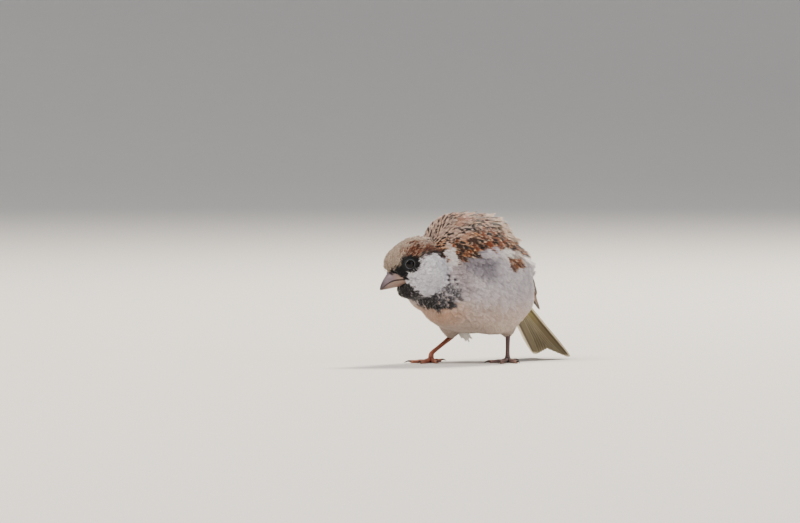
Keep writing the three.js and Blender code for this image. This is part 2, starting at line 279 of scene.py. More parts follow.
class Paint:
    def __init__(self, name):
        self.material = bpy.data.materials.new(name)
        self.material.use_nodes = True
        self.tree = self.material.node_tree
        self.tree.nodes.clear()

    def node(self, kind, settings=None, links=None, output=0):
        made = self.tree.nodes.new(kind)
        for name, value in (settings or {}).items():
            setattr(made, name, value)
        for name, value in (links or {}).items():
            if isinstance(value, Value):
                self.tree.links.new(value.socket, made.inputs[name])
            else:
                made.inputs[name].default_value = value
        return Value(self, made.outputs[output] if made.outputs else None)

    def math(self, operation, *values):
        return self.node("ShaderNodeMath", {"operation": operation}, dict(enumerate(values)))

    def trait(self, name, output="Fac"):
        return self.node("ShaderNodeAttribute", {"attribute_name": name}, output=output)

    def place(self):
        return self.node("ShaderNodeTexCoord", output="Object")

    def vector(self, x, y, z):
        return self.node("ShaderNodeCombineXYZ", links={"X": x, "Y": y, "Z": z})

    def noise(self, where, scale, detail):
        links = {"Vector": where, "Scale": scale, "Detail": detail, "Roughness": 0.5}
        return self.node("ShaderNodeTexNoise", links=links)

    def step(self, value, low, high, least=0.0, most=1.0):
        links = {"Value": value, "From Min": low, "From Max": high, "To Min": least, "To Max": most}
        return self.node("ShaderNodeMapRange", {"interpolation_type": "SMOOTHSTEP"}, links)

    def mix(self, share, first, second, way="MIX"):
        settings = {"data_type": "RGBA", "blend_type": way}
        links = {0: share, 6: self.shade(first), 7: self.shade(second)}
        return self.node("ShaderNodeMix", settings, links, output=2)

    def shade(self, value):
        if isinstance(value, Value):
            return value
        return (*(colour(value) if isinstance(value, str) else value), 1)

    def toned(self, base, tone):
        return self.mix(1.0, base, self.vector(tone, tone, tone), "MULTIPLY")

    def finish(self, base, grain=None, rough=None, ridges=None, **sockets):
        # The grain takes the roughness from one value to another, and gives ridges of a strength
        # and a depth in metres.
        links = {name.replace("_", " "): value for name, value in sockets.items()}
        if rough:
            links["Roughness"] = self.step(grain, 0.2, 0.8, *rough)
        if ridges:
            raised = {"Height": grain, "Strength": ridges[0], "Distance": ridges[1]}
            links["Normal"] = self.node("ShaderNodeBump", links=raised)
        shader = self.node("ShaderNodeBsdfPrincipled", links={"Base Color": base, **links})
        self.node("ShaderNodeOutputMaterial", links={"Surface": shader})
        return self.material


studio = {
    "cameraDistance": 3.0,  # metres
    "lens": 275,
    "sensor": 36,
    "climb": 1.6,  # degrees that the camera looks down
    "aim": (-0.0366, 0, 0.0492),
    "floor": "#d9d7d4", "floorFlecks": "#cfccc8",
    "floorFlat": 4.0,  # metres to where it turns up
    "floorRise": 3.0,
    "sky": "#e9ecf2",
    "skyStrength": 0.5,
    "contrast": "AgX - Medium High Contrast",
    "lamps": [
        # name, place, size, watts, tint
        ("key", (-1.2, -1.5, 2.2), 1.3, 66, "#fff4e6"),
        ("rim", (0.9, 1.4, 2.2), 0.8, 95, "#fff6e6"),
        ("fill", (1.9, -1.7, 0.8), 1.8, 10, "#eef3ff"),
    ],
}


def makeCamera():
    data = bpy.data.cameras.new("camera")
    data.lens = studio["lens"]
    data.sensor_width = studio["sensor"]
    data.clip_start = 0.1
    data.clip_end = 50
    camera = placed("camera", data)
    climb = math.radians(studio["climb"])
    back = Vector((0, -math.cos(climb), math.sin(climb))) * studio["cameraDistance"]
    camera.location = Vector(studio["aim"]) + back
    camera.rotation_euler = (math.radians(90) - climb, 0, 0)
    bpy.context.scene.camera = camera


def makeFloor():
    # A round sheet that turns up at its rim, so that its far edge shows no line.
    flat, rise, turns = studio["floorFlat"], studio["floorRise"], around(96)
    climb = np.linspace(0, math.pi / 2, 13)[1:]
    radius = np.concatenate([flat * np.arange(1, 9) / 8, flat + rise * np.sin(climb)])[:, None]
    height = np.concatenate([np.zeros(8), rise * (1 - np.cos(climb))])[:, None]
    points = np.stack([radius * np.cos(turns), radius * np.sin(turns), height + 0 * turns], axis=-1)
    mesh = newMesh("floor", points.reshape(-1, 3) / mm, tubeFaces(len(radius), turns.size, False))
    paint = Paint("floor paper")
    grain = paint.noise(paint.place(), 60, 3)
    tint = paint.mix(grain * 0.25, studio["floor"], studio["floorFlecks"])
    mesh.materials.append(paint.finish(tint, Roughness=0.9))
    placed("floor", mesh)


def makeLights():
    world = bpy.data.worlds.new("studio")
    world.use_nodes = True
    sky = world.node_tree.nodes["Background"]
    sky.inputs["Color"].default_value = (*colour(studio["sky"]), 1)
    sky.inputs["Strength"].default_value = studio["skyStrength"]
    bpy.context.scene.world = world
    bpy.context.scene.view_settings.look = studio["contrast"]
    for name, place, size, watts, tint in studio["lamps"]:
        data = bpy.data.lights.new(name, "AREA")
        data.shape = "DISK"
        data.size = size
        data.energy = watts
        data.color = colour(tint)
        lamp = placed(name, data)
        lamp.location = place
        aim = Vector((0, 0, 0.04)) - Vector(place)
        lamp.rotation_euler = aim.to_track_quat("-Z", "Y").to_euler()


makeCamera()
makeFloor()
makeLights()
print("studio made")


# The outside of the coat, and the skin under it.
hide = {
    "voxel": 0.5,
    "pushedOut": 0.25,  # closes the cuts between the nodes
    "coatRounds": 10,
    "skinRounds": 14,
    "backRounds": 170,  # evens out the loose tips of the back, where separate plumes take their place
    "wingKept": -15,  # the wing's part ahead of this line fills the body's side
    "wingDrawnIn": 0.4,  # and the rest is drawn in to this share of its length, as a fairing
    # how far the flank feathers stand out over the folded wing, and where, in the body's axes
    "flankFluffed": 1.5,
    "flankAt": (-17, 0, 42),
    "flankSize": (9, 1, 11),
    "billKept": 7.5,
    "eyeRadius": 3.66,
    "eyeSide": 5.1,  # from the middle of the head to the eyeball's middle
    # the coat's depth by the distance from the bill, and where it is thin
    "reach": (1, 7, 15, 27, 40),
    "depth": (0.45, 1.5, 1.5, 3.0, 4.2),
    "depthEye": 0.45,
    "nearEye": (3.2, 6.5),  # from full effect to none
    "depthThigh": 1.0,
    "thighHeights": (14, 25),
    "leastDepth": 0.45,  # share of it kept where the body is thinner than twice the coat
    "lidDip": 0.3,  # how far the skin dips in under the lids
}
fleshNodes = ["head", "neck", "trunk", "thigh_left", "thigh_right"]


def cutAhead(shape, axes, limit):
    # Draws all that lies ahead of a plane across the forward axis back on to that plane.
    points, triangles = shape
    local = axes.into(points)
    past = local[:, 0] > limit
    middle = local[~past].mean(axis=0)
    local[past, 0] = limit
    local[past, 1:] = middle[1:] + (local[past, 1:] - middle[1:]) * 0.5
    return axes.out(local), triangles


def drawnIn(shape, axes, limit, share):
    # Shortens all that lies behind a plane across the forward axis.
    points, triangles = shape
    local = axes.into(points)
    local[:, 0] = np.where(local[:, 0] < limit, limit + (local[:, 0] - limit) * share, local[:, 0])
    return axes.out(local), triangles


def voxelShell(shapes, voxel, pushedOut):
    # One closed surface of small quads round all the shapes.
    grown = [(points + normalsOf(points, faces) * pushedOut, [faces], {}) for points, faces in shapes]
    points, faces, _ = joined(grown)
    mesh = newMesh("rough", points / mm, faces)
    rough = placed("rough", mesh)
    remesh = rough.modifiers.new("voxels", "REMESH")
    remesh.mode = "VOXEL"
    remesh.voxel_size = voxel
    seen = rough.evaluated_get(bpy.context.evaluated_depsgraph_get())
    shell = bpy.data.meshes.new_from_object(seen)
    points = readAll(shell.vertices, "co", 3)
    faces = readAll(shell.loops, "vertex_index", 1, int).reshape(-1, 4)
    bpy.data.objects.remove(rough)
    bpy.data.meshes.remove(mesh)
    bpy.data.meshes.remove(shell)
    return largestPart(points, faces)


def largestPart(points, faces):
    # Points that hang together come to share the least of their numbers.
    label = np.arange(len(points))
    while True:
        least = label[faces].min(axis=1)
        fresh = label.copy()
        for i in range(4):
            np.minimum.at(fresh, faces[:, i], least)
        fresh = fresh[fresh]
        if (fresh == label).all():
            break
        label = fresh
    kept = label == np.bincount(label).argmax()
    number = np.cumsum(kept) - 1
    return points[kept], number[faces[kept[faces[:, 0]]]]


def relaxed(points, faces, rounds, share=1):
    # Draws every point towards its neighbours, more where the share is larger.
    ends = np.concatenate([faces[:, [i, (i + 1) % 4]] for i in range(4)])
    count = np.bincount(ends[:, 0], minlength=len(points))[:, None]
    for _ in range(rounds):
        total = [np.bincount(ends[:, 0], points[ends[:, 1], i], len(points)) for i in range(3)]
        points = points + (np.stack(total, axis=1) / count - points) * (0.5 * share)
    return points


class Surface:
    def __init__(self, points, faces):
        self.points = points
        self.faces = faces
        self.normals = normalsOf(points, faces)
        self.tree = BVHTree.FromPolygons(points.tolist(), faces.tolist())

    def nearest(self, places):
        spots = np.empty_like(places)
        hits = np.empty(len(places), int)
        for i, place in enumerate(places.tolist()):
            spot, _, face, _ = self.tree.find_nearest(place)
            spots[i] = spot
            hits[i] = face
        return spots, unit(self.normals[self.faces[hits]].mean(axis=1))


def fromEye(points):
    # Distance from the line through both eyes.
    return np.hypot(*head.into(points)[:, [0, 2]].T)


def fromBill(points):
    return np.linalg.norm(points - head.out((9.5, 0, -4.5)), axis=1)


def closeToEye(points, reach, side):
    # From 0 to 1, for points further out than a distance from the head's middle.
    onSide = np.abs(head.into(points)[:, 1]) > side
    return np.where(onSide, 1 - ramp(fromEye(points), *reach), 0)


def coatDepth(points):
    depth = np.interp(fromBill(points), hide["reach"], hide["depth"])
    depth = depth + (hide["depthEye"] - depth) * closeToEye(points, hide["nearEye"], 4)
    low = 1 - ramp(points[:, 2], *hide["thighHeights"])
    return depth + (hide["depthThigh"] - depth) * low


def bodyShapes(withOutside):
    shapes = [nodeShape(name) for name in fleshNodes]
    for name in ("bill_upper", "bill_lower"):
        shapes.append(cutAhead(nodeShape(name), head, hide["billKept"]))
    for name in ("wing_left", "wing_right"):
        shapes.append(drawnIn(nodeShape(name), body, hide["wingKept"], hide["wingDrawnIn"]))
    shapes += [nodeShape(name) for name in ("eye_left", "eye_right")]
    if withOutside:
        shapes.append(nodeShape("tail"))
    return shapes


def outside(withOutside, rounds):
    points, faces = voxelShell(bodyShapes(withOutside), hide["voxel"], hide["pushedOut"])
    u, v, w = body.into(points).T
    behind = ramp(-u, -18, -8) * ramp(w, 24, 32) + ramp(-u, 8, 14) * ramp(w, 14, 20)
    points = relaxed(points, faces, rounds)
    points = relaxed(points, faces, hide["backRounds"], behind.clip(0, 1)[:, None])
    away = (body.into(points) * [1, 0, 1] - hide["flankAt"]) / hide["flankSize"]
    far = np.linalg.norm(away, axis=1)
    fluffed = hide["flankFluffed"] * np.exp(-(far ** 2)) * ramp(np.abs(v), 8, 14)
    return points + normalsOf(points, faces) * fluffed[:, None], faces


def skinSurface():
    points, faces = outside(False, hide["skinRounds"])
    points = points - normalsOf(points, faces) * coatDepth(points)[:, None]
    points = relaxed(points, faces, 3)
    on, out = coat.nearest(points)
    least = hide["leastDepth"] * coatDepth(points)
    shallow = dot(on - points, out) < least
    points = np.where(shallow[:, None], on - out * least[:, None], points)
    local = head.into(points)
    axis = fromEye(points)
    ball = np.sqrt((hide["eyeRadius"] ** 2 - axis ** 2).clip(0))
    limit = hide["eyeSide"] + ball - hide["lidDip"] + 3 * ramp(axis, 2.8, 4.2)
    over = (axis < 4.2) & (np.abs(local[:, 1]) > 4)
    local[over, 1] = local[over, 1].clip(-limit[over], limit[over])
    return Surface(head.out(local), faces)


coat = Surface(*outside(True, hide["coatRounds"]))
skin = skinSurface()
print("coat", len(coat.faces), "faces; skin", len(skin.faces), "faces")


# Tints of the plumage. The skin and every feather take theirs from the same places.
shades = {
    "flank": "#c9c2c9",
    # painted shade under the back's edge, and the grey mottle of the bib where pale fringes hide it
    "shadeAndMottleGrey": "#716d77",
    # painted shade in the crease where the breast feathers overlap the flank
    "foldShade": "#94888a",
    "breast": "#d3b09a",
    # pale belly whose warm tint is partly painted reflected light from below
    "bellyAndWarmBounce": "#cab3a5",
    "vent": "#ece7df",
    "tuft": "#fdfaf4",
    "thigh": "#cdbfb4",
    "cheek": "#d9d8e0",
    "neckSide": "#e6e3e6",
    "bib": "#100f12",
    "bibFringe": "#bab8bc",
    "mask": "#0e1116",
    "crown": "#a59384",
    "crownFringe": "#e2d7cb",
    "chestnut": "#6b351e",
    "chestnutFringe": "#c59b7a",
    "mantlePale": "#cab5ac",
    "paleBack": "#cfb9a8",
    "rufous": "#8e4a28",
    "buff": "#cc9468",
    "umber": "#4d3226",
    "mantleFringe": "#f0dac4",
    "rump": "#8d7a6c",
    "rumpFringe": "#ab9a8b",
    "covert": "#86563a",
    "covertFringe": "#bd9270",
    "down": "#5f5957",
    "streak": "#1d1617",
}
tints = {name: colour(code) for name, code in shades.items()}

areas = {
    # body axes: the height of the back's lower edge at places along the body, on each side
    "along": (-26, -17, -13, -7, 0, 9, 17, 23, 27, 31),
    "edgeLeft": (51, 50.6, 52, 54.4, 56.2, 56, 53.6, 50.9, 48.9, 50),
    "edgeRight": (47, 43, 41, 39.5, 39, 39.5, 40.5, 44, 49, 51),
    # head axes: the white cheek's middle, and its outline as radii at degrees from straight ahead
    "cheekMiddle": (-7.5, -9),
    "cheekAngles": (0, 15, 30, 47, 75, 120, 165, 185, 205, 240, 290, 320, 350, 360),
    "cheekRadii": (11.0, 11.2, 9.8, 8.2, 9.3, 10.3, 10.1, 10.7, 9.4, 9.0, 10.7, 10.4, 10.3, 11.0),
    "window": (-4.3, 20.7, 49.1),  # wing coverts that show between flank and back, on the left
    # rods that shades lie along, as start, end and the radius at each: on the body
    # painted shade beneath the back's edge, near the shoulder
    "underBackShade": ((23, 14, 49), (16, 19.5, 46.5), 2.2, 2.6),
    # painted shade in the crease where the breast feathers overlap the flank
    "foldShade": ((27, 9.8, 46), (25, 13.5, 38), 1.2, 1.6),
    "bright": ((4, 20.7, 54), (-12, 20, 50.5), 0.6, 1.8),
    "loose": ((0, 8, 70), (-9, 13, 63), 1.5, 3.0),
    # and on both sides of the head, given for the left
    "neckBand": ((-21.5, 7, 0.5), (-20.5, 8, -7.5), 0.8, 1.9),
    "lore": ((0, 6, 0), (9.6, 3.2, -1.6), 3.3, 2.6),
    "gape": ((4, 6, -3), (6, 4.8, -7.6), 2.0, 1.6),
}


def fromRod(points, name, axes, away=(1, 1, 1)):
    start, end, *radii = areas[name]
    return capsule(points, axes.out(np.multiply(start, away)), axes.out(np.multiply(end, away)), *radii)


def fromPair(points, name):
    return np.minimum(fromRod(points, name, head), fromRod(points, name, head, (1, -1, 1)))


class Marks:
    # Ground and fringe colours with the amounts of fringe and dark centre, laid on area by area.
    def __init__(self, count):
        self.ground = np.tile(tints["flank"], (count, 1))
        self.fringe = np.tile(tints["vent"], (count, 1))
        self.fringed = np.full(count, 0.3)
        self.streaked = np.full(count, 0.08)
        self.firm = np.zeros(count)

    def lay(self, share, ground, fringe=None, fringed=None, streaked=None, firm=None):
        def shade(value):
            return tints[value] if isinstance(value, str) else value

        self.ground = blend(self.ground, shade(ground), share)
        self.fringe = blend(self.fringe, shade(ground if fringe is None else fringe), share)
        for name, value in (("fringed", fringed), ("streaked", streaked), ("firm", firm)):
            if value is not None:
                old = getattr(self, name)
                setattr(self, name, old + (value - old) * share)


def markings(points, chance):
    # The looks of a feather whose tip lies at each point. Chance is from 0 to 1, and makes edges ragged.
    marks = Marks(len(points))
    u, v, w = body.into(points).T
    f, l, h = head.into(points).T
    side = np.abs(l)
    ragged = chance - 0.5
    other = (chance * 7.31) % 1
    onHead = 1 - ramp(np.linalg.norm(points - head.out((-1.5, 0, -5)), axis=1) + 3 * ragged, 16.5, 19)

    # the pale underside: warm below, painted shade beneath the back's edge, white at the vent
    # the warmth low on the belly is partly painted reflected light from below
    marks.lay(0.85 * (1 - ramp(w + 6 * ragged, 20, 38)), "bellyAndWarmBounce", "vent")
    marks.lay(ramp(u + 4 * ragged, 18, 28) * (1 - ramp(w + 3 * ragged, 24, 33)), "breast", "vent")
    rods = ("underBackShade", "foldShade", "bright", "loose")
    underBackShade, foldShade, bright, loose = (fromRod(points, name, body) for name in rods)
    # painted shade beneath the back's edge, near the shoulder
    marks.lay(0.85 * (1 - ramp(underBackShade + 1.5 * ragged, -1, 7)), "shadeAndMottleGrey", "flank")
    # painted shade in the crease where the breast feathers overlap the flank
    marks.lay(0.75 * (1 - ramp(foldShade + 2.4 * ragged, 0, 4)), "foldShade", "flank")
    marks.lay(0.7 * (1 - ramp(bright + 2 * ragged, 0, 3)), "vent")
    marks.lay(ramp(-u + 4 * ragged, 16, 27) * (1 - ramp(w, 26, 36)), "vent")
    marks.lay(0.5 * (1 - ramp(points[:, 2], 15, 22)), "thigh")

    # the back: pale next to the neck, then rufous, buff and umber with black centres
    left, right = (np.interp(u, areas["along"], areas[name]) for name in ("edgeLeft", "edgeRight"))
    edge = np.where(v > 0, left, right)
    upper = ramp(w - edge + 2.0 * ragged, -0.6, 0.6)
    tone = other - 0.25 * (v > 0) * (1 - ramp(w - edge, 3, 9))
    warm = blend(tints["umber"], tints["rufous"], ramp(tone, 0.1, 0.3))
    warm = blend(warm, tints["buff"], ramp(tone, 0.45, 0.75))
    pale = 0.8 * ramp(u + 7 * ragged, 15, 24) * ramp(w + 4 * ragged, 58, 62)
    pale = np.maximum(pale, 0.36 * ramp(w + 5 * ragged, 61, 67) * ramp(u, -16, -8))
    warm = blend(warm, tints["mantlePale"], pale)
    marks.lay(upper, warm, "mantleFringe", 0.8, 0.35 + 0.65 * ramp(chance, 0.15, 0.6), 1)
    wrist = (v < 0) * ramp(u, 4, 8) * (1 - ramp(u, 22, 25)) * (1 - ramp(w + 2 * ragged, 52, 55))
    marks.lay(upper * wrist, "chestnut", "chestnutFringe", 0.5, 0.1)
    marks.lay(0.75 * (1 - ramp(loose + 5 * ragged, 0, 4)), "paleBack", "mantleFringe", 1, 0.3)
    behind = ramp(-u + 3 * ragged, 15, 20) * ramp(w - 27 - 1.15 * np.abs(v) + 3 * ragged, -1, 2)
    marks.lay(behind, "rump", "rumpFringe", 0.6, 0.1, 0.3)
    window = np.linalg.norm((body.into(points) - areas["window"]) * [0.75, 0.6, 1.1], axis=1)
    window = 1 - ramp(window + 3 * ragged, 3.2, 4.8)
    marks.lay(window, "covert", "mantleFringe", 0.7, 0.7 * ramp(other, 0.2, 0.6), 1)

    # the side of the neck, then the cap
    marks.lay(onHead * (1 - upper) * ramp(h, -12, -8), "neckSide", "cheek", 0.4, 0, 0)
    crown = onHead * ramp(h + 1.5 * ragged, -2.5, -1.0)
    marks.lay(crown, "crown", "crownFringe", 0.8, 0.25 * ramp(other, 0.2, 0.8), 1)

    # chestnut from behind the eye round the nape, in among the paler crown
    over = ramp(side + 4.5 * ragged, 3.4, 5.6)
    over = np.maximum(over, ramp(-f + 4 * ragged, 13, 18))
    band = ramp(-f + 3.0 * ragged, -2.5, 3.0) * over * ramp(h + ragged, -2.4, -1.6)
    nape = ramp(-f + ragged, 15, 17) * ramp(h + 2 * ragged, -8.0, -5.5) * ramp(side, 2, 5)
    chestnut = np.maximum(band, nape) * onHead * (0.45 + 0.55 * ramp(other, 0.1, 0.5))
    marks.lay(chestnut, "chestnut", "chestnutFringe", 0.75, 0.25 + 0.6 * ramp(other, 0.3, 0.9), 1)
    neckBand = 1 - ramp(fromPair(points, "neckBand") + 1.6 * ragged, -0.3, 1.0)
    beside = blend(tints["neckSide"], tints["mantlePale"], ramp(h + ragged, -3, 0))
    marks.lay(neckBand, beside, "crownFringe", 0.4, 0.1, 0)

    # the cheek is a round fan from the gape, under the eye and back to the neck
    across, down = f - areas["cheekMiddle"][0], h - areas["cheekMiddle"][1]
    turn = np.degrees(np.arctan2(down, across)) % 360
    inside = np.interp(turn, areas["cheekAngles"], areas["cheekRadii"]) - np.hypot(across, down)
    cheek = ramp(inside + 1.6 * ragged, -0.5, 0.5) * ramp(side, 2.0, 3.2)
    rim = ramp(inside + 1.2 * ragged, -2.4, -1.2) * ramp(h, -5.5, -3) * ramp(-f, 2, 4)
    marks.lay(rim * ramp(side, 3, 5) * (1 - cheek) * 0.9, "mask", "mask", 0.1, 0, 0)
    marks.lay(cheek, "cheek", "neckSide", 0.5, 0.3 * ramp(other, 0.2, 0.8), 0)

    # black round the eye and down to the gape
    near = np.hypot((f + 0.2) * 0.95, h - 0.3) - 4.4
    near = np.minimum(near, np.minimum(fromPair(points, "lore"), fromPair(points, "gape")))
    mask = (1 - ramp(near + 1.3 * ragged, -0.4, 0.5)) * ramp(side, 1.6, 2.6)
    marks.lay(mask, "mask", "mask", 0, 0, 0)

    # the bib: black at the chin, and mottled where pale fringes hide it
    under, reach = head.out((3.5, 0, -13.5)), fromBill(points)
    chin = capsule(points, head.out((9.5, 0, -9.2)), under, 4.2, 7.6)
    throat = capsule(points, under, body.out((36, -1, 37)), 7.6, 9.5)
    chest = np.where(u > 18, np.hypot((v + 0.5) * 0.72, w - 35) - 9.2, 20.0)
    out = np.minimum(np.minimum(chin, throat), chest)
    bib = (1 - ramp(out + 2.2 * ragged, -0.6, 0.6)) * (1 - cheek) * (1 - ramp(h, -7.5, -5.5))
    hidden = ramp(reach, 7, 24) * ramp(w + 0.35 * v, 27, 37)
    bib = bib * np.where(other < 0.25 * hidden, 0.3, 1)
    scaled = 0.1 + 0.55 * ramp(reach, 6, 14) * chance * ramp(h, -17, -9)
    scaled = np.maximum(scaled, 0.1 + 0.55 * ramp(reach, 4, 20) * chance)
    black = blend(tints["bib"], tints["shadeAndMottleGrey"], 0.4 * hidden)
    marks.lay(bib, black, "bibFringe", np.maximum(scaled, hidden * 0.8), 0, 0)
    return marks


def paintPlumage(name, roughness=0.72, sheen=0.2):
    # Feathers and skin: a dark centre, a pale fringe, barbs, and grey down towards the root.
    paint = Paint(name)
    along = paint.trait("along")
    across = abs(paint.trait("across"))
    chance = paint.trait("chance")
    barb = (along - across * 0.3) * 34.0
    strands = paint.noise(paint.vector(barb, across * 1.4, chance * 31.0), 1.0, 2)
    cloudy = paint.noise(paint.vector(along * 3.0, across * 2.0 + chance * 40.0, chance * 17.0), 1.4, 2)
    patchy = paint.noise(paint.place(), 170, 3)
    edge = across + (cloudy - 0.5) * 0.5
    centre = (1 - paint.step(edge, 0.25, 0.55)) * paint.step(along, 0.3, 0.5)
    centre = centre * (1 - paint.step(along + (cloudy - 0.5) * 0.3, 0.84, 0.97))
    streaked = paint.trait("streaked")
    tip = paint.step(along + (cloudy - 0.5) * 0.2, 0.84, 1.0) * (1 - streaked * 0.75)
    rim = paint.math("MAXIMUM", paint.step(edge, 0.55, 0.9), tip)
    ground = paint.trait("ground", "Color")
    base = paint.mix(centre * streaked, ground, tints["streak"])
    base = paint.mix(rim * paint.trait("fringed"), base, paint.trait("fringe", "Color"))
    base = paint.mix((1 - paint.step(along, 0.12, 0.45)) * 0.45, base, tints["down"])
    tone = 0.94 + (strands - 0.5) * 0.35 + (patchy - 0.5) * 0.2 + (chance - 0.5) * 0.12
    tone = tone + (paint.trait("strand") - 0.5) * 0.32
    rough = (roughness - 0.08, roughness + 0.1)
    return paint.finish(paint.toned(base, tone), strands, rough, (0.5, 0.00015), Sheen_Weight=sheen)


plumagePaint = paintPlumage("plumage")
skinPaint = paintPlumage("feathered skin", 0.8)
vanePaint = paintPlumage("flight feathers", 0.5, 0.05)


def skinUnwrap(piece):
    # Islands that follow the skin's own shape; each face's middle on them is where a feather's patch goes.
    bpy.context.view_layer.objects.active = piece
    piece.select_set(True)
    bpy.ops.object.mode_set(mode="EDIT")
    bpy.ops.mesh.select_all(action="SELECT")
    bpy.ops.uv.smart_project(angle_limit=math.radians(66), island_margin=0.002)
    bpy.ops.object.mode_set(mode="OBJECT")
    piece.select_set(False)
    layer = piece.data.uv_layers.active
    layer.name = "OFBake"
    return readAll(layer.data, "uv", 2).reshape(-1, 4, 2).mean(axis=1)


def makeSkin():
    # The skin is coloured as the feathers that lie over it, without their fringes and dark centres.
    even = {"fringed": 0, "streaked": 0, "along": 0.6, "across": 0.3, "chance": 0.5, "strand": 0.5}
    traits = {name: np.full(len(skin.points), float(value)) for name, value in even.items()}
    marks = markings(skin.points, traits["chance"])
    traits.update(ground=marks.ground * 0.8, fringe=marks.fringe)
    piece = addPiece("skin", skin.points, [skin.faces], skinPaint, traits,
                     nodes=fleshNodes)
    return skinUnwrap(piece)


skinPlaces = makeSkin()
skinMiddles = skin.points[skin.faces].mean(axis=1)
print("skin made and unwrapped")


growth = {
    # distance from the bill against a feather's length, how far apart feathers grow, and its barbs
    "reach": (0, 4, 9, 15, 26, 42, 60),
    "length": (1.3, 2.0, 3.2, 4.6, 7.0, 11.0, 12.5),
    "spacing": (0.30, 0.36, 0.48, 0.66, 0.88, 1.25, 1.32),
    "barbs": ((0, 7, 9), (7, 14, 13), (14, 24, 20), (24, 400, 34)),  # from, to, barbs on each side
    "headTo": 24,
    "loose": {"head": 0.7, "body": 0.9},  # how untidy the barbs are
    "variants": 5,
    "straight": 0.86,  # feathers that curl up more than this are left out
    "slender": 0.23,  # half width for its length
    "thighHeights": (13, 21),
    "nearEye": (2.8, 7),
    "thighLength": 0.5, "thighCloser": 0.4,
    "eyeShorter": 0.62, "eyeCloser": 0.45,
    "backLonger": 0.3,
    "uneven": 0.12,  # of the lengths
    "stations": 7,
    "swirl": 5.5,  # degrees that feathers lie astray
}


def tangent(vectors, normals):
    return unit(vectors - dot(vectors, normals)[:, None] * normals)


def swung(headings, normals, turns):
    return headings * np.cos(turns)[:, None] + np.cross(normals, headings) * np.sin(turns)[:, None]


legs = {
    # heading of each toe in degrees, its length and its claw's length, outer, middle, inner and hind
    "left": {
        "pad": (16.06, -9.45), "ankle": 4.2, "top": (16.26, -4.85, 12.2),
        "toes": ((110, 12.5, 4.4), (76, 15.5, 5), (42, 11.5, 4.2), (247, 9.5, 6)),
    },
    "right": {
        "pad": (-21.44, -9.45), "ankle": 4.4, "top": (-11.94, 2.65, 11.6),
        "toes": ((38, 12.5, 4.4), (71, 15.5, 5), (104, 11.5, 4.2), (240, 9.5, 6)),
    },
}
legTops = [np.array(leg["top"]) for leg in legs.values()]
legWays = [unit(np.array([*leg["pad"], leg["ankle"]]) - leg["top"]) for leg in legs.values()]


def lie(points, normals):
    # The way feathers point: away from the bill, then to the tail, down the thighs, and round the eyes.
    fromFace = unit(points - head.out((10, 0, -4)))
    toTail = unit(body.out((-34, 0, 33)) - points)
    reach = fromBill(points)[:, None]
    way = fromFace * np.exp(-((reach / 27) ** 2)) + toTail * (1 - np.exp(-((reach / 30) ** 2)))
    u, v, w = body.into(points).T
    sag = ramp(np.abs(v), 8, 16) * ramp(reach[:, 0], 22, 34) * (1 - ramp(w, 50, 56))
    way = way - sag[:, None] * np.array([0, 0, 0.35])
    for top, down in zip(legTops, legWays):
        gap = top + down * 2.5 - points
        far = np.linalg.norm(gap, axis=1)
        pull = (1 - ramp(far, 9, 15)) * (1 - ramp(points[:, 2], 18, 24))
        way = way + unit(gap) * pull[:, None] * 2.5
    local, axis = head.into(points), fromEye(points)
    close = np.exp(-(((axis - 2.2) / 2.2) ** 2)) * (np.abs(local[:, 1]) > 4) * 1.5
    apart = local * [1, 0, 1] / axis[:, None]
    way = way + head.turned(apart) * close[:, None]
    return tangent(way, normals)


def placeTree(spots):
    tree = KDTree(len(spots))
    for i, spot in enumerate(spots.tolist()):
        tree.insert(spot, i)
    tree.balance()
    return tree


def scatter(spots, spacing):
    # Faces picked in a random order, none nearer to an earlier one than its spacing.
    tree = placeTree(spots)
    blocked = spacing <= 0
    taken = []
    for i in dice.permutation(len(spots)).tolist():
        if not blocked[i]:
            taken.append(i)
            for _, j, _ in tree.find_range(spots[i], spacing[i]):
                blocked[j] = True
    return np.array(taken)


def curveWeights(shares, stations):
    # How much each station counts at each share of a smooth curve through them.
    weights = np.zeros((len(shares), stations))
    place = shares.clip(0, 1.1) * (stations - 1)
    low = np.clip(np.floor(place), 0, stations - 2).astype(int)
    t = place - low
    rows = np.arange(len(shares))
    for step, value in (
        (-1, (-t + 2 * t ** 2 - t ** 3) / 2),
        (0, (2 - 5 * t ** 2 + 3 * t ** 3) / 2),
        (1, (t + 4 * t ** 2 - 3 * t ** 3) / 2),
        (2, (-t ** 2 + t ** 3) / 2),
    ):
        np.add.at(weights, (rows, np.clip(low + step, 0, stations - 1)), value)
    return weights


def layOut(roots, headings, lengths, stiffness, lifts, follow=0.5):
    # Each feather's centre line, from its root in the skin along the outside of the coat.
    steps = growth["stations"] - 1
    spot, out = coat.nearest(roots)
    along = tangent(headings, out)
    spots, outs = [spot], [out]
    stride = (lengths / steps)[:, None]
    stiff = stiffness[:, None]
    for _ in range(steps):
        ahead = spot + along * stride
        on, out = coat.nearest(ahead)
        reached = on + np.maximum(dot(ahead - on, out), 0)[:, None] * out * stiff
        along = unit(reached - spot)
        turned = tangent(along * (1 - follow) + lie(on, out) * follow, out)
        along = unit(turned * (1 - stiff) + along * stiff)
        spot = reached
        spots.append(spot)
        outs.append(out)
    share = np.linspace(0, 1, steps + 1)[:, None]
    lines, outs = np.stack(spots, axis=1), np.stack(outs, axis=1)
    sunk = (roots - lines[:, 0])[:, None] * (1 - share) ** 1.7
    return lines + sunk + outs * lifts[:, None, None] * share ** 2, outs


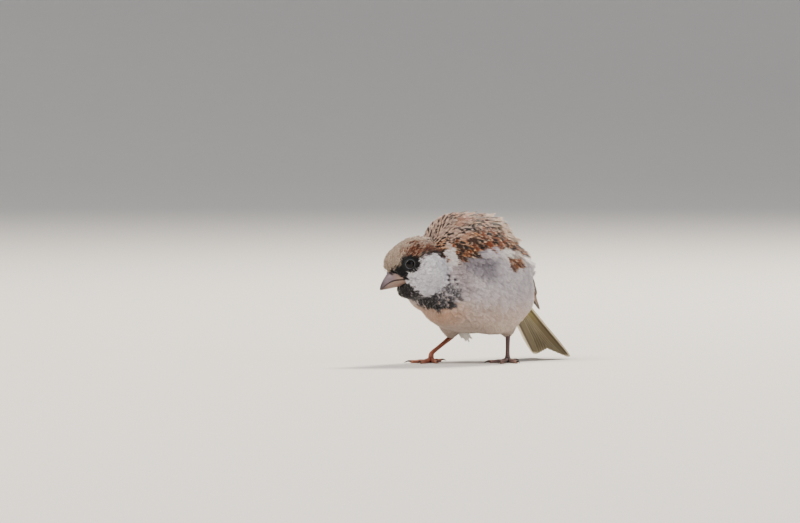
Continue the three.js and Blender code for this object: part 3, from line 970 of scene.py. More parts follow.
def barbTemplate(barbs, loose, pointed, sweep, seed):
    # A feather of separate barbs, as shares of its length and half width. Lift is in half widths.
    # Barbs of a larger sweep run further along the feather.
    chance = np.random.default_rng(seed)
    shares, offsets, lifts, tones, quads, triangles = [], [], [], [], [], []

    def outline(share):
        tip = max(0.0, 1 - (max(share - 0.6, 0) / 0.42) ** 2) ** (0.5 + 0.4 * pointed)
        return tip * (1 - 0.35 * (max(0.6 - share, 0) / 0.6) ** 1.5)

    gap = 0.86 / barbs
    for side in (-1, 1):
        for i in range(barbs):
            part = i / (barbs - 1)
            start = 0.04 + 0.84 * part
            ahead = sweep * (1 - 0.53 * part) * (1 + loose * chance.normal(0, 0.16))
            end = min(start + ahead, 1.03)
            wide = outline(min(end, 1.0)) * (1 + loose * chance.normal(0, 0.12)) + 0.02
            rise = loose * chance.normal(0, 0.10)
            half = gap * 0.66
            first = len(shares)
            middle = start + ahead * 0.46
            spread = wide * 0.60
            shares += [start - half, start + half, middle - half * 0.9, middle + half * 0.9, end]
            offsets += [0.0, 0.0, side * (spread + 0.03), side * (spread - 0.03), side * wide]
            lifts += [0.0, 0.0, rise * 0.4, rise * 0.4, rise]
            tones += [0.5 + loose * 0.5 * chance.uniform(-0.8, 0.8)] * 5
            order = [first, first + 1, first + 3, first + 2]
            quads.append(order if side < 0 else order[::-1])
            last = [first + 2, first + 3, first + 4]
            triangles.append(last if side < 0 else last[::-1])
    return {
        "shares": np.array(shares), "offsets": np.array(offsets), "lifts": np.array(lifts),
        "strand": np.array(tones), "faces": [np.array(quads), np.array(triangles)],
    }


def dressed(lines, outs, halfWidths, rolls, template, camber):
    # Template points for every feather: along its line, across it, and off it.
    weights = curveWeights(template["shares"], lines.shape[1])
    ways = unit(np.gradient(lines, axis=1))
    sides = unit(np.cross(outs, ways))
    fronts = np.cross(ways, sides)
    turn = rolls[:, None, None]
    turned = sides * np.cos(turn) + fronts * np.sin(turn)
    fronts = fronts * np.cos(turn) - sides * np.sin(turn)
    centre, across, off = (np.einsum("mk,nkc->nmc", weights, what) for what in (lines, turned, fronts))
    wide = halfWidths[:, None, None]
    offset = template["offsets"][:, None]
    lift = template["lifts"][:, None] - camber * offset ** 2
    return centre + across * offset * wide + off * lift * wide


class Plumage:
    # Gathers feathers, deals them into pieces of about the same size, and makes the pieces.
    def __init__(self):
        self.batches = []
        self.triangles = 0

    def add(self, shaped, template, marks, chances, patches):
        count, size = shaped.shape[:2]
        traits = {
            "along": template["shares"].clip(0, 1), "across": template["offsets"],
            "chance": chances[:, None], "strand": template["strand"], **marks,
        }
        for name, value in traits.items():
            if name in ("ground", "fringe") and value.ndim == 2:
                value = value[:, None]
            traits[name] = np.broadcast_to(value, (count, size, *value.shape[2:]))
        self.batches.append((shaped, template["faces"], traits, patches))
        self.triangles += count * sum(len(g) * (g.shape[1] - 2) for g in template["faces"])

    def make(self, name, material, slot, nodes=(), most=195000):
        pieces = 1 + self.triangles // most
        for piece in range(pieces):
            shapes = []
            for shaped, groups, traits, patches in self.batches:
                mine = slice(piece, None, pieces)
                count, size = shaped[mine].shape[:2]
                if not count:
                    continue
                shift = np.arange(count)[:, None, None] * size
                faces = [(group + shift).reshape(-1, group.shape[1]) for group in groups]
                flat = {"patches": patches[mine].reshape(-1, 2)}
                for trait, values in traits.items():
                    flat[trait] = values[mine].reshape(-1, *values.shape[2:])
                shapes.append((shaped[mine].reshape(-1, 3), faces, flat))
            points, faces, traits = joined(shapes)
            patches = traits.pop("patches")
            title = f"{name}_{piece + 1}" if pieces > 1 else name
            addPiece(title, points, faces, material, traits, patches, () if piece else nodes)
        print(name, "made:", pieces, "pieces,", self.triangles, "triangles")


def rootPatches(template, places, patch=0.0028):
    # A small patch at each feather's root on the skin's unwrap.
    share = template["shares"].clip(0, 1) - 0.5
    across = template["offsets"].clip(-1.15, 1.15) * 0.42
    return places[:, None] + np.stack([across, share], axis=1) * patch


def picked(marks, mine=slice(None)):
    chosen = {name: getattr(marks, name)[mine] for name in ("ground", "fringe")}
    return {**chosen, "fringed": marks.fringed[mine, None], "streaked": marks.streaked[mine, None]}


def bareSkin(points):
    # Where no feather grows: under the bill, round the eye and at the top of the bare shanks.
    f, l, h = head.into(points).T
    bare = (f > 8.6 - 0.9 * np.abs(l)) & (f > 3.5) & (np.abs(l) < 4.3)
    bare &= (h < 2.2 - 0.42 * (f - 4)) & (h > -8.6)
    bare |= (np.hypot(f, h) < 2.35) & (np.abs(l) > 3.5)
    for top in legTops:
        bare |= np.linalg.norm(points - top, axis=1) < 1.2
    return bare


def nearLegsAndEye(outer):
    low = 1 - ramp(outer[:, 2], *growth["thighHeights"])
    return low, closeToEye(outer, growth["nearEye"], 3.5)


def featherRoots(outer):
    # Faces of the skin that a feather grows from, closer together on the thighs and round the eyes.
    low, nearEye = nearLegsAndEye(outer)
    spacing = np.interp(fromBill(outer), growth["reach"], growth["spacing"])
    spacing = spacing * (1 - growth["thighCloser"] * low) * (1 - growth["eyeCloser"] * nearEye)
    spacing[bareSkin(outer)] = 0
    return scatter(skinMiddles, spacing)


def featherLengths(outer, back):
    low, nearEye = nearLegsAndEye(outer)
    lengths = np.interp(fromBill(outer), growth["reach"], growth["length"])
    lengths = lengths * (1 + (growth["thighLength"] - 1) * low) * (1 - growth["eyeShorter"] * nearEye)
    for top in legTops:
        lengths = np.minimum(lengths, 0.9 + 0.42 * np.linalg.norm(outer - top, axis=1))
    return lengths * (1 + growth["uneven"] * drawn(len(outer))) * (1 + growth["backLonger"] * back)


def featherLifts(outer, lengths, back):
    # How far tips stand off the coat, in millimetres.
    count = len(outer)
    u, v, w = body.into(outer).T
    lifts = lengths * (0.01 + 0.035 * dice.random(count) ** 2)
    lifts = lifts * (0.4 + 0.6 * ramp(fromBill(outer), 14, 30))
    lifts = lifts + back * lengths * 0.14 * dice.random(count) ** 2
    # pressed down by the right wing's coverts, and at the root of the left wing
    under = (v < 0) * ramp(w, 36, 39) * (1 - ramp(w, 52, 54)) * ramp(u, -20, -16) * (1 - ramp(u, 14, 17))
    lifts = lifts * (1 - under) - 1.1 * under
    return lifts - 0.9 * ramp(-u, 8, 14) * ramp(v, 12, 16) * ramp(w, 38, 42)


def growFeathers():
    normals = unit(skin.normals[skin.faces].mean(axis=1))
    outer = skinMiddles + normals * coatDepth(skinMiddles)[:, None]
    chosen = featherRoots(outer)
    outer, normals = outer[chosen], normals[chosen]
    count = len(chosen)
    reach = fromBill(outer)
    u, v, w = body.into(outer).T
    back = ramp(-u, -12, 4) * ramp(w, 52, 60)  # where the feathers are long and loose
    chances = dice.random(count)
    lengths = featherLengths(outer, back)
    astray = np.radians(growth["swirl"]) * drawn(count, 2.5)
    astray = astray + 0.16 * np.sin(outer @ np.array([0.31, 0.22, -0.37]) + 1.3)
    headings = swung(lie(outer, normals), normals, astray)
    lifts = featherLifts(outer, lengths, back)
    lines, outs = layOut(skinMiddles[chosen], headings, lengths, 0.2 + 0.45 * back, lifts)
    laid = np.linalg.norm(np.diff(lines[:, 2:], axis=1), axis=2).sum(axis=1)
    straight = np.linalg.norm(lines[:, -1] - lines[:, 2], axis=1) > growth["straight"] * laid
    marks = markings(lines[:, 5], chances)
    rolls = np.radians(4 + 3 * ramp(w, 50, 56)) * drawn(count)
    halfWidths = lengths * growth["slender"] * (1 - 0.2 * marks.firm - 0.12 * back)
    halfWidths = halfWidths * (0.86 + 0.14 * np.maximum(marks.firm, ramp(-reach, -24, -18)))
    variants = growth["variants"]
    plumages = {"head": Plumage(), "body": Plumage()}
    for (least, most, barbs), firm, variant in product(growth["barbs"], (0, 1), range(variants)):
        where = "head" if most <= growth["headTo"] else "body"
        mine = straight & (reach >= least) & (reach < most) & ((marks.firm > 0.5) == bool(firm))
        mine &= np.arange(count) % variants == variant
        loose = growth["loose"][where] - 0.3 * firm
        seed = variant + 10 * barbs + 500 * firm
        template = barbTemplate(barbs, loose, firm, 0.34 if firm else 0.5, seed)
        shaped = dressed(lines[mine], outs[mine], halfWidths[mine], rolls[mine], template,
                         0.16 if firm else 0.08)
        patches = rootPatches(template, skinPlaces[chosen[mine]])
        plumages[where].add(shaped, template, picked(marks, mine), chances[mine], patches)
    print("feathers on head and body:", straight.sum(), "and", (~straight).sum(), "curled ones left out")
    for where, plumage in plumages.items():
        plumage.make(f"{where}_feathers", plumagePaint, f"{where}_plumage")


growFeathers()


# Loose plumes of the back, wing coverts and the tuft under the vent. Each row has its first and
# last place in the body's axes, how many feathers, length, half width, lift, stiffness and looks,
# where None takes the markings of the place.
rowsOfFeathers = {
    "mantle_plumes": (
        ((17, -7, 75), (17, 9, 75), 8, 11, 1.6, 1.5, 0.65, None),
        ((12, -9, 75), (12, 11, 75), 9, 13, 1.8, 1.8, 0.7, None),
        ((7, -12, 74), (7, 14, 74), 11, 14, 2.0, 2.2, 0.78, None),
        ((2, -14, 72), (2, 16, 71), 12, 14, 2.1, 2.4, 0.8, None),
        ((-3, -14, 69), (-3, 17, 66), 12, 13, 2.1, 2.2, 0.78, None),
        ((-8, -14, 64), (-8, 17, 61), 11, 12, 2.0, 1.4, 0.7, None),
        ((4, 16, 69), (-9, 19, 58), 6, 14, 2.0, 1.7, 0.75, None),
        ((13, 4, 76), (13, 9, 75), 5, 10, 1.5, 2.3, 0.87, None),
        ((6, 6, 74), (4, 12, 72), 7, 12, 1.8, 2.9, 0.87, None),
        ((-3, 9, 69), (-5, 15, 65), 8, 11, 1.8, 2.9, 0.86, None),
        ((-4, 19, 60), (-9, 19, 56), 6, 12, 1.5, 1.6, 0.75, None),
    ),
    "wing_coverts": (
        ((-17, -19, 35), (-14, -19, 50), 9, 13.0, 2.6, 0.4, 0.75, "greater"),
        ((-11, -20, 36), (-8, -20, 52), 10, 13.0, 2.6, 0.5, 0.6, "greater"),
        ((-4, -21, 37), (1, -21, 53), 12, 12.0, 2.3, 0.6, 0.5, "greater"),
        ((3, -22, 38), (8, -21, 54), 12, 8.5, 2.0, 0.8, 0.45, "median"),
        ((7, -22, 39), (12, -20, 54), 12, 7.0, 1.8, 0.7, 0.4, "lesser"),
        ((11, -21, 40), (16, -18, 54), 12, 6.5, 1.7, 0.6, 0.4, "lesser"),
        ((15, -20, 42), (19, -16, 54), 9, 5.5, 1.6, 0.5, 0.4, "lesser"),
        ((-19, 19, 35), (-18, 19.5, 42), 6, 9.0, 2.2, 0.1, 0.5, "greater"),
    ),
    "vent_tuft": (
        ((2.0, -5.6, 17.2), (-0.2, -11.2, 17), 34, 5.1, 0.7, 0.2, 1.0, "tuft"),
    ),
}
rowLooks = {
    # ground, fringe, amount of fringe, dark centre
    "greater": ("umber", "covertFringe", 1.0, 0.3),
    "median": ("bib", "vent", 1.0, 0),
    "lesser": ("chestnut", "chestnutFringe", 0.5, 0.2),
    "tuft": ("tuft", "tuft", 0.8, 0),
}


def addRow(plumage, row, seed):
    first, last, count, length, halfWidth, lift, stiff, looks = row
    part = (np.arange(count) + 0.5 + 0.25 * dice.normal(size=count)) / count
    places = body.out(between((first, last), part[:, None]))
    places = places + (0 if looks else 1.2) * drawn((count, 3))
    on, out = coat.nearest(places)
    roots = on - out * 1.2
    lengths = length * (1 + 0.1 * drawn(count))
    headings = swung(lie(on, out), out, np.radians(6) * drawn(count))
    lifts = lift * (0.35 + 0.9 * dice.random(count))
    lines, outs = layOut(roots, headings, lengths, np.full(count, stiff), lifts, 0.3)
    share = np.linspace(0, 1, lines.shape[1])[:, None]
    if looks == "tuft":
        hanging = unit(np.array([0.42, 0.1, -0.9]) + 0.15 * dice.normal(size=(count, 3)))
        hanging = hanging * (lengths * (1.2 - 0.6 * part))[:, None]
        lines = roots[:, None] + hanging[:, None] * share
        outs = np.broadcast_to(np.array([0.1, -1.0, 0.0]), lines.shape)
    lines = lines + outs * 0.35 * share
    chances = dice.random(count)
    marks = markings(lines[:, 4], chances)
    if looks:
        marks.lay(np.ones(count), *rowLooks[looks])
    template = barbTemplate(28, 0.5, 0.0 if looks else 1.0, 0.34, seed)
    widths = halfWidth * (1 + 0.1 * drawn(count))
    rolls = np.radians(5) * drawn(count)
    shaped = dressed(lines, outs, widths, rolls, template, 0.18)
    nearest = [skinTree.find(place)[1] for place in roots.tolist()]
    plumage.add(shaped, template, picked(marks), chances, rootPatches(template, skinPlaces[nearest]))


skinTree = placeTree(skinMiddles)
for name, rows in rowsOfFeathers.items():
    plumage = Plumage()
    for i, row in enumerate(rows):
        addRow(plumage, row, 900 + i)
    plumage.make(name, plumagePaint, "body_plumage")


wing = {
    # a folded wing from the wrist to its tip, in the body's axes: forward, out to the side and up
    "stations": (
        (21, 12, 48), (12, 16, 48), (1, 18, 46.5), (-11, 18.8, 43),
        (-19, 17.8, 39), (-30, 13.6, 33.2), (-38, 9.8, 28.6), (-43.5, 7.2, 25.2),
    ),
    "halfHeights": (4, 8, 9.4, 9, 7.8, 5.2, 3, 1.2),
    "halfDepths": (1.4, 1.6, 1.8, 2.0, 2.0, 1.5, 0.9, 0.5),
    "leans": (24, 24, 24, 20, 16, 14, 10, 6),
    # primaries, secondaries and tertials, each row from its first feather to its last: share along
    # the wing and height share at root and tip, half width, depth share, and the outer web's share
    # of the inner one. Pale is laid across the web and at the tip: from, to and amount.
    "rows": (
        {
            "count": 9, "root": ((0.34, -0.9), (0.40, -0.2)), "tip": ((0.92, -0.9), (0.84, 0.5)),
            "furthest": 0.08, "halfWidth": (1.5, 2.2), "depth": (-0.9, -0.1), "outerWeb": 0.45,
            "dark": "#2d2623", "pale": "#8f7760", "across": (0.7, 0.9, 0.85), "end": (0.97, 1.0, 0.7),
        },
        {
            "count": 6, "root": ((0.42, -0.7), (0.38, 0.3)), "tip": ((0.83, -0.65), (0.79, 0.4)),
            "furthest": 0, "halfWidth": (2.2, 2.8), "depth": (0.0, 0.55), "outerWeb": 0.8,
            "dark": "#2d2623", "pale": "#a2785a", "across": (0.45, 0.95, 1), "end": (0.96, 1.0, 0.4),
        },
        {
            "count": 3, "root": ((0.44, 0.2), (0.38, 0.75)), "tip": ((0.82, 0.3), (0.72, 0.9)),
            "furthest": 0, "halfWidth": (3.3, 2.7), "depth": (0.75, 1.1), "outerWeb": 0.8,
            "dark": "#33271f", "pale": "#b78e6a", "across": (0.65, 1.05, 0.8), "end": (0.95, 1.01, 0.8),
            "bothEdges": True,
        },
    ),
    "roll": 9,  # degrees that the lower edge of each stands out over the next
    "under": "#6a605a",
}


def vaneTemplate(rows, columns, narrow, seed):
    # A closed thin feather: top and underside, with a raised shaft, barbs that slant forward,
    # and a few splits in its edge. Narrow is the outer web's share of the inner one.
    chance = np.random.default_rng(seed)
    steps = np.linspace(0, 1, rows + 1) ** 0.85
    across = np.linspace(-1, 1, 2 * columns + 1)
    across = np.sign(across) * np.abs(across) ** 0.8
    split = {side: 1 + 0.012 * chance.normal(size=rows + 1) for side in (-1, 1)}
    for side in (-1, 1):
        for at in chance.integers(rows // 2, rows - 4, 2):
            split[side][at] -= 0.07
    step, web = np.meshgrid(steps, across, indexing="ij")
    reach = web * np.where(web > 0, narrow, 1)
    edge = np.where(web > 0, split[1][:, None], split[-1][:, None])
    outline = np.sqrt((1 - ((step - 0.72).clip(0) / 0.2905) ** 2).clip(0))
    outline = (outline * (1 - 0.45 * ((0.45 - step).clip(0) / 0.45) ** 1.5)).clip(0.02)
    shaft = 0.035 * np.exp(-((web / 0.09) ** 2)) * (1 - 0.7 * step)
    sheet = {
        "shares": step + 0.13 * np.abs(reach) * (1 - step) ** 0.6,
        "offsets": reach * outline * np.where(np.abs(web) > 0.9, edge, 1),
        "lifts": 0.015 * (1 - np.abs(web) ** 3) + shaft,
        "strand": 0.5 - 0.45 * np.exp(-((web / 0.07) ** 2)),
        "web": web,
        "under": 0 * web,
    }
    template = {name: np.tile(values.ravel(), 2) for name, values in sheet.items()}
    template["lifts"][web.size:] *= -1
    template["under"][web.size:] = 1
    width = len(across)
    top = np.arange(rows)[:, None] * width + np.arange(width - 1)
    quads = np.stack([top, top + 1, top + width + 1, top + width], axis=-1).reshape(-1, 4)
    template["faces"] = [np.concatenate([quads, quads[:, ::-1] + web.size])]
    return template


def sided(template, side):
    # With the outer web on a side's outer edge.
    faces = [group[:, ::-1] if side > 0 else group for group in template["faces"]]
    return {**template, "offsets": -side * template["offsets"], "faces": faces}


def vaneMarks(ground):
    # Vanes carry their colours themselves, without fringes and centres.
    none = np.zeros((len(ground), 1))
    return {"ground": ground, "fringe": ground, "fringed": none, "streaked": none}


def stripPatches(template, numbers, count):
    # Every flight feather has its own strip, with its underside beyond its top.
    across = (numbers[:, None] + 0.5 + 0.42 * template["offsets"]) / count
    along = template["shares"].clip(0, 1) * 0.46 + 0.02 + 0.5 * template["under"]
    return np.stack([across, np.broadcast_to(along, across.shape)], axis=-1)


def wingPlaces(side, along, height, depth):
    # Points of the folded wing's sheet, and the way it faces. Along is from 0 to 1.
    stations = np.array(wing["stations"], float)
    at = (stations[0, 0] - stations[:, 0]) / (stations[0, 0] - stations[-1, 0])
    centre = np.stack([np.interp(along, at, stations[:, i]) for i in range(3)], axis=-1)
    centre[..., 1] *= side
    lean = np.radians(np.interp(along, at, wing["leans"]))
    height = height * np.interp(along, at, wing["halfHeights"])
    depth = depth * np.interp(along, at, wing["halfDepths"])
    top = np.stack([0 * lean, -side * np.sin(lean), np.cos(lean)], axis=-1)
    out = np.stack([0 * lean, side * np.cos(lean), np.sin(lean)], axis=-1)
    local = centre + top * height[..., None] + out * depth[..., None]
    return body.out(local), body.turned(out)


def wingColours(row, template, chances):
    # Dark vanes with a pale outer edge, broad and rufous on the tertials.
    web = np.abs(template["web"]) if row.get("bothEdges") else template["web"]
    pale = np.maximum(*[
        amount * ramp(value, low, high)
        for value, (low, high, amount) in ((web, row["across"]), (template["shares"], row["end"]))
    ])
    ground = blend(colour(row["dark"]), colour(row["pale"]), pale) * (0.9 + 0.2 * chances[:, None, None])
    return blend(ground, colour(wing["under"]), 0.8 * template["under"])


def makeWing(side, name):
    plumage = Plumage()
    total = sum(row["count"] for row in wing["rows"])
    share = np.linspace(0, 1, 9)
    done = 0
    for row in wing["rows"]:
        count = row["count"]
        part = np.linspace(0, 1, count)[:, None]
        root, tip = between(row["root"], part), between(row["tip"], part)
        tip[:, :1] += row["furthest"] * np.sin(math.pi * (part * 1.25 + 0.08).clip(0, 1))
        along = between((root[:, :1], tip[:, :1]), share)
        height = between((root[:, 1:], tip[:, 1:]), share ** 1.3)
        lines, outs = wingPlaces(side, along, height, between(row["depth"], part) + 0 * share)
        chances = dice.random(count)
        template = sided(vaneTemplate(44, 5, row["outerWeb"], 40 + done + side), side)
        halfWidths = between(row["halfWidth"], part[:, 0])
        rolls = np.full(count, -side * math.radians(wing["roll"]))
        shaped = dressed(lines, outs, halfWidths, rolls, template, 0.1)
        plumage.add(shaped, template, vaneMarks(wingColours(row, template, chances)), chances,
                    stripPatches(template, np.arange(count) + done, total))
        done += count
    plumage.make(f"wing_{name}", vanePaint, "flight_plumage", [f"wing_{name}"])


fan = {
    "pairs": 6,
    # from the middle pair to the outermost, in millimetres, with the left side under 1
    "tipOut": {1: (1.0, 11.4), -1: (1.0, 9.6)},
    "rootOut": (0.4, 2.6),
    "length": {1: (55.6, 60.6), -1: (55.6, 59.3)},
    "stack": (0.3, -0.4),  # the middle pair lies on top
    "halfWidth": 4.3,
    "top": "#2e2621", "topEdge": "#77604a", "shaft": "#54452f",
    # the underside's olive and yellow-green are partly painted light through the feathers from behind; the
    # cream rim is a real pale fringe brightened to near white as painted backlight
    "under": "#8b7f63", "underRootLitThrough": "#aea262", "rim": "#fff4dc",
}


def tailColours(template, outermost):
    # Dark above; below, olive and yellow-green near the root, partly painted light shining through from
    # behind. Cream rims are real pale fringes made wider and near white as painted backlight, strongest on
    # the outermost feather.
    tint = {name: colour(fan[name]) for name in ("top", "topEdge", "shaft", "under", "underRootLitThrough", "rim")}
    web, share, low = template["web"], template["shares"], template["under"]
    under = blend(tint["underRootLitThrough"], tint["under"], ramp(share, 0.35, 0.65))
    ground = blend(tint["top"], under, low)
    ground = blend(ground, tint["shaft"], 0.8 * (1 - ramp(np.abs(web), 0.05, 0.2)))
    # cream rims on the underside: real pale fringes, widened and brightened as painted backlight
    pale = np.maximum(ramp(web, 0.3, 0.5), ramp(share, 0.955, 0.985))
    pale = pale * (0.25 + 0.75 * outermost)[:, None] * low
    pale = np.maximum(pale, 0.4 * low * ramp(-web, 0.84, 0.95))
    ground = blend(ground, tint["rim"], pale)
    return blend(ground, tint["topEdge"], 0.8 * ramp(web, 0.6, 0.95) * (1 - low))


def makeTail():
    plumage = Plumage()
    pairs = fan["pairs"]
    share = np.linspace(0, 1, 9)
    part = np.linspace(0, 1, pairs)[:, None]
    for side in (1, -1):
        rootOut, tipOut = side * between(fan["rootOut"], part), side * between(fan["tipOut"][side], part)
        level = between(fan["stack"], part) + (0.05 if side > 0 else 0)
        lines = tail.out(np.stack([
            -between(fan["length"][side], part) * share,
            between((rootOut, tipOut), share ** 1.2),
            level * (0.3 + 0.7 * share) - 0.3 * np.sin(math.pi * share),
        ], axis=-1))
        outs = np.broadcast_to(tail.rows[2], lines.shape)
        chances = dice.random(pairs)
        template = sided(vaneTemplate(48, 6, 0.55, 70 + side), side)
        shaped = dressed(lines, outs, np.full(pairs, fan["halfWidth"]), np.zeros(pairs), template, 0.05)
        numbers = np.arange(pairs) + (0 if side > 0 else pairs)
        plumage.add(shaped, template, vaneMarks(tailColours(template, part[:, 0] > 0.9)), chances,
                    stripPatches(template, numbers, 2 * pairs))
    plumage.make("tail_feathers", vanePaint, "flight_plumage", ["tail"])


makeWing(1, "left")
makeWing(-1, "right")
makeTail()


eyes = {
    "pupil": 1.25,
    "iris": 2.05,
    "cornea": 0.1,
    # distance from the eye's axis, and place along it from the middle of the head
    "lidOutline": (
        (2.02, 8.05), (2.07, 8.14), (2.16, 8.17), (2.26, 8.12), (2.45, 8.0),
        (2.7, 7.8), (2.95, 7.55), (2.9, 7.2), (2.5, 6.9), (2.02, 7.6),
    ),
    "stretch": (1.08, 0.96),  # of the lids, forward and up
    "beads": 22,  # round each lid
    "pupilTint": "#050506", "irisTint": "#130d0a", "fibreTint": "#1a110c", "rimTint": "#0a0807",
    "lidTint": "#8a9096", "lidDark": "#07090b", "lidGrain": "#3a4048",
}


def paintEye():
    paint = Paint("eye")
    out = paint.trait("fromAxis")
    fibres = paint.noise(paint.place(), 900, 3)
    iris = paint.mix(fibres, eyes["fibreTint"], eyes["irisTint"])
    pupil = paint.step(out, eyes["pupil"] - 0.08, eyes["pupil"] + 0.08)
    base = paint.mix(pupil, eyes["pupilTint"], iris)
    base = paint.mix(paint.step(out, eyes["iris"] - 0.1, eyes["iris"] + 0.15), base, eyes["rimTint"])
    return paint.finish(base, Roughness=paint.step(fibres, 0.3, 0.7, 0.06, 0.1), IOR=1.4)


def paintLid():
    paint = Paint("eyelid")
    grain = paint.noise(paint.place(), 2600, 3)
    base = paint.mix(paint.trait("crest"), eyes["lidDark"], eyes["lidTint"])
    base = paint.mix(grain * 0.5, base, eyes["lidGrain"])
    return paint.finish(base, grain, (0.65, 0.85), (0.6, 0.00008))


def aroundAxis(side, outline, turns, stretch=(1, 1)):
    # Rings of points round an eye's axis, from pairs of a distance from it and a place along it.
    radius, along = outline.T[:, :, None]
    forward = radius * np.cos(turns) * stretch[0]
    up = radius * np.sin(turns) * stretch[1]
    out = side * (along + 0 * turns)
    return head.out(np.stack([forward, out, up], axis=-1)).reshape(-1, 3)


def closedRings(rings, sides):
    # Quads between rings of points, with the last ring joined to the first.
    ring, at = np.arange(rings)[:, None], np.arange(sides)
    nextRing, nextAt = (ring + 1) % rings, (at + 1) % sides
    corners = ((ring, at), (nextRing, at), (nextRing, nextAt), (ring, nextAt))
    return np.stack([a * sides + b for a, b in corners], axis=-1).reshape(-1, 4)


def makeEyes():
    eyePaint, lidPaint = paintEye(), paintLid()
    lean = np.linspace(0.02, math.pi - 0.02, 40)
    radius = hide["eyeRadius"] + eyes["cornea"] * np.exp(-((lean / 0.35) ** 2))
    ball = np.stack([radius * np.sin(lean), hide["eyeSide"] + radius * np.cos(lean)], axis=1)
    fromAxis = ball[:, 0] + 10 * (lean > 1.5)  # the back of the ball is all rim
    lid = np.array(eyes["lidOutline"])
    crest = np.exp(-(((lid[:, :1] - 2.13) / 0.08) ** 2)) * (lid[:, 1:] > 8)
    for side, name in ((1, "left"), (-1, "right")):
        turns = around(48) * side
        addPiece(f"eyeball_{name}", aroundAxis(side, ball, turns), tubeFaces(len(ball), 48), eyePaint,
                 {"fromAxis": np.repeat(fromAxis, 48)}, nodes=[f"eye_{name}"])
        turns = around(96) * side
        beads = 1 + 0.25 * np.sin(turns * eyes["beads"]) * (dice.random(96) > 0.1)
        addPiece(f"eyelid_{name}", aroundAxis(side, lid, turns, eyes["stretch"]),
                 [closedRings(len(lid), 96)], lidPaint,
                 {"crest": (crest * beads).clip(0, 1).ravel()})
    print("eyes made")


makeEyes()


bill = {
    "tip": 17.1, "root": 4.4, "tipUp": -6.3,
    "ridge": 8.9, "edge": 1.8, "keel": 3.1,  # rises and drop from the tip's height
    "halfWidth": 4.1,
    "part": 0.08,  # half the line between the halves
    "nostril": {"forward": 7.6, "rise": 0.78, "length": 0.75, "deep": 0.4},
    # the dark line colour is painted shade: in the slit between the two halves and in the nostril
    "upper": "#7f7279", "gape": "#a38c7a", "tipTint": "#433a3f", "lower": "#967f74", "line": "#241918",
}


def paintBill():
    paint = Paint("bill horn")
    share, rise = paint.trait("share"), paint.trait("rise")
    grain = paint.noise(paint.vector(share * 6.0, rise * 22.0, paint.trait("lower") * 9.0), 2.0, 4)
    mottle = paint.noise(paint.place(), 420, 3)
    base = paint.mix(paint.step(share, 0.45, 0.95) * (1 - rise * 0.8), bill["upper"], bill["gape"])
    base = paint.mix(paint.trait("lower") * 0.85, base, bill["lower"])
    base = paint.mix((1 - paint.step(share, 0.02, 0.4)) * 0.75, base, bill["tipTint"])
    # painted shade in the slit between the two halves, along their cutting edges
    base = paint.mix((1 - paint.step(rise, 0.02, 0.1)) * 0.7, base, bill["line"])
    # painted shade in the nostril's opening
    base = paint.mix(paint.trait("nostril"), base, bill["line"])
    base = paint.toned(base, 0.9 + (grain - 0.5) * 0.25 + (mottle - 0.5) * 0.25)
    return paint.finish(base, grain, (0.28, 0.42), (0.3, 0.0001), Coat_Weight=0.25,
                        Coat_Roughness=0.25, Subsurface_Weight=0.1, Subsurface_Scale=0.001)


def makeBillHalf(upper, material):
    rings, arch, flat = 64, 40, 12
    share = np.linspace(0, 1, rings)[:, None] ** 1.3
    forward = bill["tip"] + (bill["root"] - bill["tip"]) * share
    edge = bill["tipUp"] + bill["edge"] * np.sin(math.pi * share) ** 1.2
    top = bill["tipUp"] + (bill["ridge"] * share ** 0.66 if upper else -bill["keel"] * share ** 0.8)
    edge = edge + (bill["part"] if upper else -bill["part"])
    height = np.maximum(np.abs(top - edge), 0.12)
    width = 0.06 + (1 if upper else 0.92) * bill["halfWidth"] * np.sin(0.5 * math.pi * share ** 0.85)
    turn = np.linspace(0, math.pi, arch)[None]
    rise = np.sin(turn) ** 0.9
    lip = np.exp(-((rise - 0.08) / 0.09) ** 2) * 0.1 * ramp(share, 0.05, 0.3)  # a swollen cutting edge
    across = width * np.cos(turn) * (1 + lip * 0.5)
    up = height * rise
    nostril = np.zeros_like(across)
    if upper:
        hole = bill["nostril"]
        gap = np.hypot((forward - hole["forward"]) / hole["length"], (rise - hole["rise"]) * 5.0)
        nostril = np.exp(-gap ** 2.5)
        across = across - np.sign(across) * nostril * hole["deep"]
        up = up - nostril * hole["deep"] * 0.6
        across = across * (1 - 0.06 * np.exp(-((rise - 0.55) / 0.25) ** 2))  # flatter cheeks, a clear ridge
    inner = width * np.linspace(-1, 1, flat + 2)[1:-1] * 0.98
    level = rise + 0 * share
    across = np.concatenate([across, inner], axis=1)
    up, nostril, level = (np.concatenate([value, 0 * inner], axis=1) for value in (up, nostril, level))
    local = np.stack([forward + 0 * across, across, edge + (up if upper else -up)], axis=-1)
    sides = arch + flat
    faces = [group if upper else group[:, ::-1] for group in tubeFaces(rings, sides)]
    traits = {
        "share": np.repeat(share.ravel(), sides), "rise": level.ravel(),
        "nostril": nostril.ravel(), "lower": np.full(rings * sides, 0.0 if upper else 1.0),
    }
    name = "bill_upper" if upper else "bill_lower"
    addPiece(f"horn_{name}", head.out(local.reshape(-1, 3)), faces, material, traits,
             nodes=[name])


billPaint = paintBill()
makeBillHalf(True, billPaint)
makeBillHalf(False, billPaint)
print("bill made")


